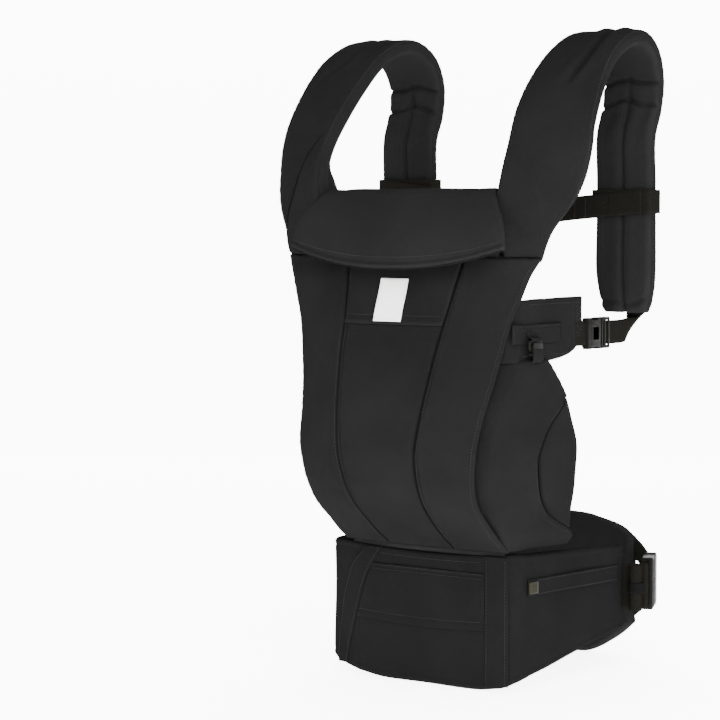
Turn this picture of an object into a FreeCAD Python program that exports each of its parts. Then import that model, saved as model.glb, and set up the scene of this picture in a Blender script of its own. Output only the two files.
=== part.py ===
import FreeCAD, Part
import math, os
import Sketcher

# Soft structured baby carrier, standing closed and upright.
# Frame: millimetres, +Z up, -Y the front (away from the wearer), +X the right side seen
# from the front.  Z = 0 is the surface that the waist belt stands on.

os.makedirs("parts", exist_ok=True)
V = FreeCAD.Vector
doc = FreeCAD.newDocument("carrier")

# ---------------------------------------------------------------- driving dimensions
sheet = doc.addObject("Spreadsheet::Sheet", "Sizes")
SIZES = [
    ("shell_thick", 6.0), ("overlay_thick", 2.5), ("belt_thick", 14.0), ("strip_thick", 1.6),
    ("strap_thick", 18.0), ("strap_front_w", 83.0), ("strap_rear_w", 68.0), ("leg_thick", 9.0),
    ("flap_thick", 6.0), ("band_thick", 5.0), ("web_thick", 1.5), ("gusset_thick", 3.0),
    ("web_wide", 50.0), ("web_narrow", 25.0),
    ("waist_w", 57.0), ("waist_t", 13.0), ("waist_fem", 28.0), ("waist_male", 20.0),
    ("small_w", 33.0), ("small_t", 9.0), ("small_fem", 24.0), ("small_male", 18.0),
    ("wall", 3.0), ("skin", 2.0), ("barb_waist", 0.8), ("barb_small", 0.6), ("arm_t", 3.0),
    ("play", 0.5), ("label_w", 35.0), ("label_l", 46.0), ("label_t", 1.2),
    ("roll_r", 7.5), ("keeper_w", 12.0), ("channel_w", 18.0), ("tab_w", 12.5),
    ("tab_l", 14.0), ("tab_t", 3.0), ("ring_w", 22.0), ("ring_l", 11.0), ("ring_t", 2.5),
    ("hook_w", 16.0), ("loop_in_x", 71.0), ("loop_in_y", 21.0), ("loop_t", 1.6),
    ("shift_y", 21.25),
]
SZ = {}
for row, (alias, value) in enumerate(SIZES, start=1):
    sheet.set("A%d" % row, alias)
    sheet.set("B%d" % row, "%g" % value)
    sheet.setAlias("B%d" % row, alias)
doc.recompute()
for alias, value in SIZES:
    SZ[alias] = float(sheet.get(alias))

parts = []          # (label, object)


def keep(obj, label):
    obj.Label = label
    parts.append((label, obj))
    return obj


# ---------------------------------------------------------------- soft pieces: thick grids
def sub(a, b):
    return (a[0] - b[0], a[1] - b[1], a[2] - b[2])


def cross(a, b):
    return (a[1] * b[2] - a[2] * b[1], a[2] * b[0] - a[0] * b[2], a[0] * b[1] - a[1] * b[0])


def unit(a):
    n = math.sqrt(a[0] ** 2 + a[1] ** 2 + a[2] ** 2) or 1.0
    return (a[0] / n, a[1] / n, a[2] / n)


def offset_grid(grid, t):
    """The grid moved by t along its own normals."""
    m, n = len(grid), len(grid[0])
    out = []
    for i in range(m):
        line = []
        for j in range(n):
            du = sub(grid[min(i + 1, m - 1)][j], grid[max(i - 1, 0)][j])
            dv = sub(grid[i][min(j + 1, n - 1)], grid[i][max(j - 1, 0)])
            k = unit(cross(du, dv))
            p = grid[i][j]
            line.append((p[0] + k[0] * t, p[1] + k[1] * t, p[2] + k[2] * t))
        out.append(line)
    return out


def closed_solid(ga, gb):
    """A closed solid between two grids of the same size, all faces triangles."""
    m, n = len(ga), len(ga[0])
    faces = []

    def tri(a, b, c):
        if min((V(*a) - V(*b)).Length, (V(*b) - V(*c)).Length, (V(*a) - V(*c)).Length) < 1e-6:
            return
        faces.append(Part.Face(Part.makePolygon([V(*a), V(*b), V(*c), V(*a)])))

    def quad(a, b, c, d):
        tri(a, b, c)
        tri(a, c, d)

    for g, flip in ((ga, False), (gb, True)):
        for i in range(m - 1):
            for j in range(n - 1):
                q = [g[i][j], g[i][j + 1], g[i + 1][j + 1], g[i + 1][j]]
                if flip:
                    q.reverse()
                    q = q[-1:] + q[:-1]
                quad(*q)
    for i in range(m - 1):
        quad(ga[i][0], ga[i + 1][0], gb[i + 1][0], gb[i][0])
        quad(ga[i][n - 1], gb[i][n - 1], gb[i + 1][n - 1], ga[i + 1][n - 1])
    for j in range(n - 1):
        quad(ga[0][j], gb[0][j], gb[0][j + 1], ga[0][j + 1])
        quad(ga[m - 1][j], ga[m - 1][j + 1], gb[m - 1][j + 1], gb[m - 1][j])
    shell = Part.makeShell(faces)
    solid = Part.makeSolid(shell)
    if solid.Volume < 0:
        solid.reverse()
    return solid


def mirrored(grid):
    return [[(-p[0], p[1], p[2]) for p in reversed(line)] for line in grid]


def soft(label, grid, t):
    """A cloth or padded piece: the grid is its outer face, t its thickness inward."""
    obj = doc.addObject("Part::Feature", label)
    obj.Shape = closed_solid(grid, offset_grid(grid, t))
    return keep(obj, label)


def lerp(a, b, k):
    return a + (b - a) * k


def table(rows, z):
    """Linear reading of a table whose first column is z."""
    if z <= rows[0][0]:
        return rows[0][1:]
    for lo, hi in zip(rows, rows[1:]):
        if z <= hi[0]:
            k = (z - lo[0]) / (hi[0] - lo[0])
            return tuple(lerp(a, b, k) for a, b in zip(lo[1:], hi[1:]))
    return rows[-1][1:]


# Front shell sections: z, centre y, seam half-width, edge x, edge y
SHELL = [
    (151, -130, 42, 106, -124), (159, -142, 42.5, 105.5, -135), (170, -156, 43, 105, -147),
    (185, -173, 44, 106, -164), (200, -187, 45, 107, -177), (225, -201, 47, 110, -187),
    (255, -208, 49, 114, -190), (290, -204, 53, 118, -183), (325, -196, 57, 122.5, -170),
    (355, -188, 60, 126, -160), (383, -178, 63, 129, -150), (410, -169, 67, 135, -140),
    (432, -162, 70, 141, -133), (448.5, -156, 72.5, 150, -128.5),
    (452.5, -154.8, 73, 113, -139), (480, -146, 77, 108, -137),
    (512, -137, 81, 106, -135),
]

# The left side panel hangs flatter and flares wider near the top
SHELL_L = [r for r in SHELL if r[0] < 300] + [
    (325, -196, 57, 124, -172.7), (355, -188, 60, 130, -166.5), (383, -178, 63, 136, -162.3),
    (410, -169, 67, 145, -157.5), (432, -162, 70, 153, -153), (448.5, -156, 72.5, 162, -146.5),
    (452.5, -154.8, 73, 113, -143), (480, -146, 77, 108, -137), (512, -137, 81, 106, -135)]


def shell_point(z, k, side=1, rows=SHELL):
    """k = 0 on the centre seam, 1 on the outer edge."""
    yc, wc, xe, ye = table(rows, z)
    ys = yc + 0.10 * (ye - yc)
    x = lerp(wc, xe, k)
    y = ys + (ye - ys) * k ** 1.7
    return (side * x, y, z)


T = SZ["shell_thick"]
ZS = [r[0] for r in SHELL]
centre = []
for z in ZS:
    yc, wc, xe, ye = table(SHELL, z)
    ys = yc + 0.10 * (ye - yc)
    w = wc - 0.6
    centre.append([(w * f, yc + (ys - yc) * f * f, z) for f in (-1, -0.66, -0.33, 0, 0.33, 0.66, 1)])
soft("body_panel_centre", centre, T)

side_grid = [[shell_point(z, k) for k in (0.006, 0.25, 0.5, 0.75, 1.0)] for z in ZS]
soft("body_panel_side_right", side_grid, T)
side_l = [[shell_point(z, k, rows=SHELL_L) for k in (0.006, 0.25, 0.5, 0.75, 1.0)] for z in ZS]
soft("body_panel_side_left", mirrored(side_l), T)

# Overlay over the upper centre panel: free lower edge at z = 383
ov = []
for z in (383, 410, 432, 452, 480, 510):
    yc, wc, xe, ye = table(SHELL, z)
    ys = yc + 0.10 * (ye - yc)
    w = wc - 1.0
    ov.append([(w * f, yc + (ys - yc) * f * f - 0.5 - SZ["overlay_thick"], z)
               for f in (-1, -0.66, -0.33, 0, 0.33, 0.66, 1)])
soft("upper_overlay", ov, SZ["overlay_thick"])

# ---------------------------------------------------------------- folded head support
# rows run from the fold at the panel's top edge down to the lip
FLAP = [  # half width, y centre, y at tip, z centre, z at tip
    (106, -141, -140, 522.5, 522.5), (110, -150, -149, 518, 519), (119, -164, -160, 504, 508),
    (129, -176, -168, 485, 494), (135.5, -185, -173, 463, 478), (138, -190, -176, 441, 462),
]
flap = []
for w, yc, yt, zc, zt in FLAP:
    flap.append([(w * f, lerp(yc, yt, f * f), lerp(zc, zt, abs(f) ** 2.2))
                 for f in (-1, -0.8, -0.55, -0.28, 0, 0.28, 0.55, 0.8, 1)])
soft("head_support", flap, -SZ["flap_thick"])

# ---------------------------------------------------------------- shoulder straps
# centre line x, y, z; width; yaw of the face in degrees
STRAP = [
    (131.5, -130.5, 454.5, 38.0, 27.0, 0.0), (134.5, -129.0, 477.0, 50.0, 26.0, 0.0),
    (149.0, -129.0, 511.0, 74.0, 25.0, 0.0), (157.0, -126.0, 540.0, 81.0, 24.0, 0.0),
    (160.0, -118.0, 566.0, 83.0, 22.0, 0.0), (157.0, -101.0, 599.0, 83.0, 18.0, 0.0),
    (153.0, -77.0, 631.0, 82.0, 13.0, 0.0), (150.0, -46.0, 660.0, 80.0, 8.0, 0.0),
    (148.0, -12.0, 676.5, 77.0, 4.0, 0.0), (147.0, 19.0, 677.5, 74.0, 2.0, 0.0),
    (145.0, 46.0, 662.0, 71.0, 0.0, 0.0), (143.5, 58.0, 636.0, 69.0, 0.0, 0.0),
    (143.0, 55.0, 606.0, 68.0, 0.0, 0.0), (143.0, 44.0, 580.0, 68.0, 0.0, 0.0),
    (143.0, 44.0, 436.0, 68.0, 0.0, 0.0), (143.0, 46.0, 412.0, 62.0, 0.0, 0.0),
    (142.0, 49.0, 392.0, 52.0, 0.0, 0.0),
]
STRAP_L = [(143.5, -142.5, 454.5, 38.0, 10.0, 0.0), (149.0, -138.0, 477.0, 50.0, 14.0, 0.0),
           (155.0, -133.0, 511.0, 74.0, 20.0, 0.0), (159.0, -127.0, 540.0, 81.0, 23.0, 0.0)] + STRAP[4:]
st = SZ["strap_thick"]


def strap_grids(rows):
    ga, gb = [], []
    n = len(rows)
    for i, (x, y, z, w, yaw, skew) in enumerate(rows):
        a, b = rows[max(i - 1, 0)], rows[min(i + 1, n - 1)]
        tan = unit((0.0, b[1] - a[1], b[2] - a[2]))
        if 13 <= i <= 14:
            tan = (0.0, 0.0, -1.0)
        nrm = (0.0, -tan[2], tan[1])          # outer face of the loop
        c, s_ = math.cos(math.radians(yaw)), math.sin(math.radians(yaw))
        line_a, line_b = [], []
        for f in (-1, -0.5, 0, 0.5, 1):
            d = f * w / 2
            px, py, pz = x + d * c, y + d * s_, z - skew * f
            edge = 0.72 if abs(f) == 1 else 1.0
            tt = st / 2 * edge
            line_a.append((px, py + nrm[1] * tt, pz + nrm[2] * tt))
            line_b.append((px, py - nrm[1] * tt, pz - nrm[2] * tt))
        ga.append(line_a)
        gb.append(line_b)
    return ga, gb


sa, sb = strap_grids(STRAP)
la, lb = strap_grids(STRAP_L)
for label, ga, gb in (("shoulder_strap_right", sa, sb),
                      ("shoulder_strap_left", mirrored(la), mirrored(lb))):
    o = doc.addObject("Part::Feature", label)
    o.Shape = closed_solid(ga, gb)
    keep(o, label)

# Inner gussets: sails sewn over the front of each strap, running out to a point at its
# inner edge; k is the strap row, the two numbers after it the sail's edges across the strap
SAIL = [(0.75, -0.82, 0.75), (1.25, -0.8, 0.45), (1.7, -0.78, 0.1), (2.25, -0.8, -0.2),
        (3.0, -0.82, -0.45), (3.7, -0.86, -0.68), (4.3, -0.92, -0.83)]


def strap_front(face, k, f):
    """A point of a strap's outer face at row k and share f of its half width."""
    i = min(int(k), len(face) - 2)
    cols = (-1, -0.5, 0, 0.5, 1)
    j = max(q for q in range(4) if cols[q] <= f)
    v = (f - cols[j]) / (cols[j + 1] - cols[j])
    ends = [[lerp(row[j][c], row[j + 1][c], v) for c in range(3)] for row in (face[i], face[i + 1])]
    return tuple(lerp(ends[0][c], ends[1][c], k - i) for c in range(3))


def sail(face, gap):
    out = []
    for k, f0, f1 in SAIL:
        line = []
        for v in (0.0, 0.35, 0.7, 1.0):
            x, y, z = strap_front(face, k, lerp(f0, f1, v))
            line.append((x - 0.35 * gap, y - 0.94 * gap, z))
        out.append(line)
    return out


gt = SZ["gusset_thick"]
for label, a, b in (("strap_gusset_right", sail(sa, 1.9 + gt), sail(sa, 1.9)),
                    ("strap_gusset_left", mirrored(sail(la, 1.9 + gt)), mirrored(sail(la, 1.9)))):
    o = doc.addObject("Part::Feature", label)
    o.Shape = closed_solid(a, b)
    keep(o, label)

# ---------------------------------------------------------------- leg openings
LEG = [  # z, tucked edge x, y, front x, front y, rear x, rear y, bulge
    (150.5, 100.5, -108, 108.5, -120, 120, -27, 1), (160, 100.5, -120.3, 110.5, -130, 134, -40, 4),
    (171, 100.5, -132.5, 112, -140, 141, -56, 7), (190, 102, -154.5, 113, -152, 144, -58, 7),
    (220, 105.5, -174.2, 117, -168, 149, -57, 7), (255, 109.5, -181.2, 121, -173, 150, -58, 7),
    (290, 114, -175.5, 126, -165, 147, -63, 7), (320, 118, -164.5, 130, -152, 143, -74, 5),
    (344.5, 120.5, -156.5, 134, -140, 139.5, -91, 1),
]
SEAM = [(171, 0.92), (178, 0.76), (190, 0.60), (211, 0.51), (245, 0.485), (268, 0.545),
        (285, 0.656), (300, 0.85), (308, 0.93)]


def leg_point(z, k):
    xt, yt, xf, yf, xr, yr, bu = table(LEG, z)
    if k < 0:
        return (xt, yt, z)              # the edge sewn behind the side panel
    return (lerp(xf, xr, k) + bu * math.sin(math.pi * k), lerp(yf, yr, k), z)


def seam_k(z):
    return 1.0 if z > 308 or z < 171 else table(SEAM, z)[0]


legz = (150.5, 157, 164, 171, 178, 190, 211, 245, 268, 285, 300, 308, 325, 344.5)
leg_rows = [[leg_point(z, -1)] + [leg_point(z, (seam_k(z) - (0.0 if z > 308 or z < 171 else 0.06 if z < 200 else 0.03)) * f)
                                  for f in (0, 0.3, 0.65, 1)] for z in legz]


def leg_inner(row, tuck=2.5, fold=4.0, deep=0.0):
    """The inner line of one level row: thin at the sewn edge, the fold line held on the
    bisector of its corner, the rest a padded thickness away."""
    flat = [(p[0], p[1]) for p in row]
    out = []
    for j, (x, y) in enumerate(flat):
        a, b = flat[max(j - 1, 0)], flat[min(j + 1, len(flat) - 1)]
        if j == 1:
            u = unit((a[0] - x, a[1] - y, 0.0))
            v = unit((b[0] - x, b[1] - y, 0.0))
            d = unit((u[0] + v[0], u[1] + v[1], 0.0))
            half = math.acos(max(-1.0, min(1.0, u[0] * v[0] + u[1] * v[1]))) / 2
            t = min(fold / max(math.sin(half), 0.4), 9.0)
        else:
            w = unit((b[0] - a[0], b[1] - a[1], 0.0))
            d = (-w[1], w[0])
            t = tuck if j == 0 else (6.0 if j == 2 else SZ["leg_thick"])
        out.append((x + d[0] * t, y + d[1] * t, row[j][2]))
    return out


leg_in = [leg_inner(r) for r in leg_rows]
leg_r = doc.addObject("Part::Feature", "leg_panel_right")
leg_r.Shape = closed_solid(leg_rows, leg_in)
keep(leg_r, "leg_panel_right")
leg_l = doc.addObject("Part::Feature", "leg_panel_left")
leg_l.Shape = leg_r.Shape.mirror(V(0, 0, 0), V(1, 0, 0))
keep(leg_l, "leg_panel_left")
cuffz = (176, 181, 190, 211, 245, 268, 285, 300, 307)
cuff_rows = [[leg_point(z, lerp(min(seam_k(z) + 0.02, 0.985), 1.0, f)) for f in (0, 0.5, 1)] for z in cuffz]
soft("leg_cuff_right", cuff_rows, SZ["leg_thick"])
soft("leg_cuff_left", mirrored(cuff_rows), SZ["leg_thick"])

# Side bands: from behind the panel's edge back to the side buckle
band = [[(121.5, -155.5, 345.5), (130.5, -131.8, 409.0)],
        [(131.3, -140.0, 345.5), (132.0, -122.0, 409.5)],
        [(132.5, -90.0, 345.5), (132.5, -90.0, 410.0)],
        [(133.5, -52.0, 350.0), (133.5, -52.0, 410.5)],
        [(134.0, -24.0, 358.5), (134.0, -24.0, 410.5)]]
soft("side_band_right", band, -SZ["band_thick"])
band_l = [[(123, -160.5, 345.5), (133, -150, 409)], [(130.5, -147, 345.5), (134.5, -136, 409.5)]] + band[2:]
soft("side_band_left", mirrored(band_l), -SZ["band_thick"])

# ---------------------------------------------------------------- waist belt
def wall_grid(plan):
    """plan: outer face x, y, z low, z high; two rows between them."""
    rows = []
    for f in (0.0, 0.5, 1.0):
        rows.append([(x, y, lerp(zl, zh, f)) for x, y, zl, zh in plan])
    return rows


BT = SZ["belt_thick"]


def wall_solid(label, outer, inner):
    """A wall from its outer and inner plan lines; the heights belong to the outer line."""
    both = [(ix, iy, o[2], o[3]) for o, (ix, iy) in zip(outer, inner)]
    obj = doc.addObject("Part::Feature", label)
    obj.Shape = closed_solid(wall_grid(outer), wall_grid(both))
    return keep(obj, label)


front = [(-90, -118, 4, 145), (-60, -118, 0, 143), (0, -118, 0, 141), (60, -118, 0, 143),
         (90, -118, 4, 145)]
soft("belt_front", wall_grid(front), BT)
wing_r = [(90.4, -118, 4.1, 145), (104, -117.5, 7, 146), (110.5, -115, 10, 146),
          (114, -109, 12.5, 145.5), (115, -98, 15, 145), (117.5, -60, 22, 144),
          (121, 0, 34, 142), (125, 72, 47, 139)]
wing_r_in = [(90.4, -104), (97, -104), (99.5, -103), (100.5, -101), (101.2, -97), (103.5, -60),
             (107, 0), (111, 72)]
wall_solid("belt_wing_right", wing_r, wing_r_in)
wing_l = [(-131, 72, 47, 139), (-138, 30, 38, 142), (-140, -20, 27, 144), (-140.5, -78, 20, 145),
          (-137, -98, 16, 145), (-127, -109.5, 13, 145.5), (-110, -116, 9, 146),
          (-90.4, -118, 4.1, 145)]
wing_l_in = [(-117, 72), (-124, 30), (-126, -20), (-126.3, -74), (-124, -87), (-118, -94.5),
             (-106, -102), (-90.4, -104)]
wall_solid("belt_wing_left", wing_l, wing_l_in)
lumbar = [(95, 150, 41, 137), (72, 158, 24, 148), (40, 163.5, 6, 155), (20, 165.5, 0, 158),
          (-50, 163, 0, 157), (-86, 150, 12, 150), (-114, 122, 28, 144), (-128, 92, 42, 140),
          (-130.8, 73, 47, 139)]
lumbar_in = [(92, 136.5), (68, 144.5), (38, 149.7), (19.5, 151.5), (-46, 149), (-77.5, 138.5),
             (-102, 113.5), (-114.5, 86), (-117, 73)]
wall_solid("lumbar_pad", lumbar, lumbar_in)

# Flat strips at the two front folds, and the overlay pocket between them
def plate(label, x0, x1, z0, z1, y, t):
    """A Part::Box whose thickness is bound to the sheet; y is its rear face."""
    b = doc.addObject("Part::Box", label)
    b.Length = x1 - x0
    b.Height = z1 - z0
    b.setExpression("Width", "Sizes.%s" % t)
    b.Placement.Base = V(x0, y - SZ[t], z0)
    return keep(b, label)


plate("belt_strip_right", 76.0, 103.0, 8.0, 141.0, -118.2, "strip_thick")


# The left strip leans outward towards the floor and wraps on to the wing: z, outer x, inner x
LEAN = [(12, -121, -106), (35, -119, -101), (60, -115, -94), (85, -111, -87), (105, -105, -80.5),
        (122, -98, -71.5), (134, -86.5, -63.5), (141, -79.5, -58)]


def belt_face(x):
    """Height of the belt's front face at x, just clear of the cloth."""
    line = [(-137, -98), (-127, -109.5), (-110, -116), (-90.4, -118), (90, -118)]
    for (xa, ya), (xb, yb) in zip(line, line[1:]):
        if x <= xb:
            return lerp(ya, yb, (x - xa) / (xb - xa)) - (0.9 if x < -92 else 0.2)
    return -118.2


def laid_sheet(label, rows, n, t):
    """A thin sheet lying on the belt's front, its outline given by rows of z, x, x."""
    front, rear = [], []
    for z, x0, x1 in rows:
        xs = [lerp(x0, x1, i / n) for i in range(n + 1)]
        front.append([(x, belt_face(x) - SZ[t], z) for x in xs])
        rear.append([(x, belt_face(x), z) for x in xs])
    obj = doc.addObject("Part::Feature", label)
    obj.Shape = closed_solid(front, rear)
    return keep(obj, label)


laid_sheet("belt_strip_left", LEAN, 3, "strip_thick")
laid_sheet("belt_pocket_overlay", [(z, max(table(LEAN, z)[1] + 0.5, -91.9), 75.5)
                                   for z in (66, 85, 105, 122, 124)], 4, "strip_thick")


# ---------------------------------------------------------------- PartDesign prisms
def origin_plane(body, role):
    for f in body.Origin.OriginFeatures:
        if f.Role == role:
            return f
    raise RuntimeError("no plane " + role)


def rect_sketch(body, name, role, w, l, cx=0.0, cy=0.0):
    """A centred rectangle with its two sides bound to the sheet."""
    sk = body.newObject("Sketcher::SketchObject", name)
    sk.AttachmentSupport = [(origin_plane(body, role), "")]
    sk.MapMode = "FlatFace"
    a, b = 5.0, 5.0
    pts = [V(cx - a, cy - b, 0), V(cx + a, cy - b, 0), V(cx + a, cy + b, 0), V(cx - a, cy + b, 0)]
    for i in range(4):
        sk.addGeometry(Part.LineSegment(pts[i], pts[(i + 1) % 4]), False)
    for i in range(4):
        sk.addConstraint(Sketcher.Constraint("Coincident", i, 2, (i + 1) % 4, 1))
    for i in (0, 2):
        sk.addConstraint(Sketcher.Constraint("Horizontal", i))
    for i in (1, 3):
        sk.addConstraint(Sketcher.Constraint("Vertical", i))
    cw = sk.addConstraint(Sketcher.Constraint("DistanceX", 0, 1, 0, 2, 2 * a))
    cl = sk.addConstraint(Sketcher.Constraint("DistanceY", 1, 1, 1, 2, 2 * b))
    sk.addConstraint(Sketcher.Constraint("Symmetric", 0, 1, 2, 1, -1, 1)) if cx == cy == 0 else None
    sk.setExpression("Constraints[%d]" % cw, w)
    sk.setExpression("Constraints[%d]" % cl, l)
    return sk


def pad_body(label, w, l, t, place, fillet=0.0, hole=None):
    """A rectangular pad, optionally with a centred rectangular through-hole."""
    body = doc.addObject("PartDesign::Body", label)
    sk = rect_sketch(body, label + "_outline", "XY_Plane", w, l)
    pad = body.newObject("PartDesign::Pad", label + "_pad")
    pad.Profile = sk
    pad.Length = 1.0
    pad.setExpression("Length", t)
    pad.Midplane = True
    doc.recompute()
    if hole:
        sk2 = rect_sketch(body, label + "_opening", "XY_Plane", hole[0], hole[1])
        before = pad.Shape.Volume
        pk = body.newObject("PartDesign::Pocket", label + "_cut")
        pk.Profile = sk2
        pk.Type = 1
        pk.Midplane = True
        doc.recompute()
        if not pk.Shape.Volume < before - 1.0:
            raise RuntimeError(label + ": the opening cuts nothing")
    if fillet:
        last = body.Tip
        edges = ["Edge%d" % (i + 1) for i, e in enumerate(last.Shape.Edges)
                 if abs(e.tangentAt(e.FirstParameter).z) > 0.99
                 and abs(e.Vertexes[0].Point.x) > last.Shape.BoundBox.XMax - 0.01]
        fl = body.newObject("PartDesign::Fillet", label + "_corners")
        fl.Base = (last, edges)
        fl.Radius = fillet
        doc.recompute()
    body.Placement = place
    return keep(body, label)


def frame(origin, ex, ey, ez):
    m = FreeCAD.Matrix(ex[0], ey[0], ez[0], origin[0], ex[1], ey[1], ez[1], origin[1],
                       ex[2], ey[2], ez[2], origin[2], 0, 0, 0, 1)
    return FreeCAD.Placement(m)


# Blank sewn label on the overlay, leaning with it
lean = math.atan2(178 - 162, 432 - 383)
up = (0.0, math.sin(lean), math.cos(lean))
out = (0.0, -math.cos(lean), math.sin(lean))
lab_y = table(SHELL, 407.5)[0] - 0.5 - SZ["overlay_thick"]
lab_off = 0.3 + SZ["label_t"] / 2
pad_body("label_patch", "Sizes.label_w", "Sizes.label_l", "Sizes.label_t",
         frame((-5.0, lab_y + out[1] * lab_off, 407.5 + out[2] * lab_off), (1, 0, 0), up, out),
         fillet=1.5)

# Rolled webbing tail and its elastic keeper at the waist closure
ROLL = (139.0, 75.0)
roll = doc.addObject("Part::Cylinder", "webbing_roll")
roll.setExpression("Radius", "Sizes.roll_r")
roll.setExpression("Height", "Sizes.web_wide")
roll.Placement.Base = V(ROLL[0], ROLL[1], 67.5)
keep(roll, "webbing_roll")
k_out = doc.addObject("Part::Cylinder", "keeper_outside")
k_out.setExpression("Radius", "Sizes.roll_r + 1.0")
k_out.setExpression("Height", "Sizes.keeper_w")
k_in = doc.addObject("Part::Cylinder", "keeper_inside")
k_in.setExpression("Radius", "Sizes.roll_r + 0.2")
k_in.setExpression("Height", "Sizes.keeper_w")
keeper = doc.addObject("Part::Cut", "webbing_keeper")
keeper.Base, keeper.Tool = k_out, k_in
keeper.Placement.Base = V(ROLL[0], ROLL[1], 86.5)
keep(keeper, "webbing_keeper")


# ---------------------------------------------------------------- webbing runs
def ribbon(label, pts, t):
    """pts: centre x, y, z, then the width direction and the width."""
    g = []
    for x, y, z, wx, wy, wz, w in pts:
        d = unit((wx, wy, wz))
        g.append([(x - d[0] * w / 2, y - d[1] * w / 2, z - d[2] * w / 2),
                  (x + d[0] * w / 2, y + d[1] * w / 2, z + d[2] * w / 2)])
    o = doc.addObject("Part::Feature", label)
    a, b = offset_grid(g, t / 2), offset_grid(g, -t / 2)
    o.Shape = closed_solid(a, b)
    return keep(o, label)


WT = SZ["web_thick"]
# buckle frame of the waist closure: pull direction from the female half to the wing
WE = unit((0.45, -0.893, 0.0))
WN = (-WE[1], WE[0], 0.0)          # outward normal
if WN[0] < 0:
    WN = (-WN[0], -WN[1], 0.0)
WZ = 92.5
WF = (112.0, 150.0)                # rear bar of the female half
WM = (WF[0] + WE[0] * SZ["waist_fem"], WF[1] + WE[1] * SZ["waist_fem"])


def along(k, n=0.0):
    return (WM[0] + WE[0] * k + WN[0] * n, WM[1] + WE[1] * k + WN[1] * n)


p = [along(SZ["waist_male"] + 0.3, 0.9), along(38.0, 0.9)]
ribbon("waist_webbing", [(p[0][0], p[0][1], WZ, 0, 0, 1, SZ["web_wide"]),
                         (p[1][0], p[1][1], WZ, 0, 0, 1, SZ["web_wide"]),
                         (131.0, 82.0, WZ, 0, 0, 1, SZ["web_wide"]),
                         (120.0, 73.2, WZ, 0, 0, 1, SZ["web_wide"])], WT)

# V-shaped webbing yoke between the lumbar pad's end and the buckle
yo = doc.addObject("Part::Feature", "waist_yoke")
ya, yb = V(96.2, 146.0, 0), V(WF[0] - WE[0] * 1.0, WF[1] - WE[1] * 1.0, 0)
ydir = (yb - ya)
ylen = ydir.Length
ydir.normalize()
prof = [(0, 136), (0, 112), (ylen * 0.6, 92.5), (0, 73), (0, 49), (ylen, 67.5), (ylen, 117.5)]
wire = Part.makePolygon([ya + ydir * s + V(0, 0, z) for s, z in prof + prof[:1]])
yn = V(-ydir.y, ydir.x, 0)
yo.Shape = Part.Face(wire).extrude(yn * 2.0)
keep(yo, "waist_yoke")


# ---------------------------------------------------------------- side-release buckles
def box(name, x0, y0, z0, lx, ly, lz):
    """Local box; every size and position is an expression on the sheet."""
    b = doc.addObject("Part::Box", name)
    b.setExpression("Length", lx)
    b.setExpression("Width", ly)
    b.setExpression("Height", lz)
    b.setExpression("Placement.Base.x", x0)
    b.setExpression("Placement.Base.y", y0)
    b.setExpression("Placement.Base.z", z0)
    return b


def combine(label, adds, cuts, place):
    if len(adds) > 1:
        base = doc.addObject("Part::MultiFuse", label + "_body")
        base.Shapes = adds
    else:
        base = adds[0]
    if cuts:
        if len(cuts) > 1:
            tool = doc.addObject("Part::MultiFuse", label + "_openings")
            tool.Shapes = cuts
        else:
            tool = cuts[0]
        res = doc.addObject("Part::Cut", label)
        res.Base, res.Tool = base, tool
    else:
        res = base
    res.Placement = place
    return keep(res, label)


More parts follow.
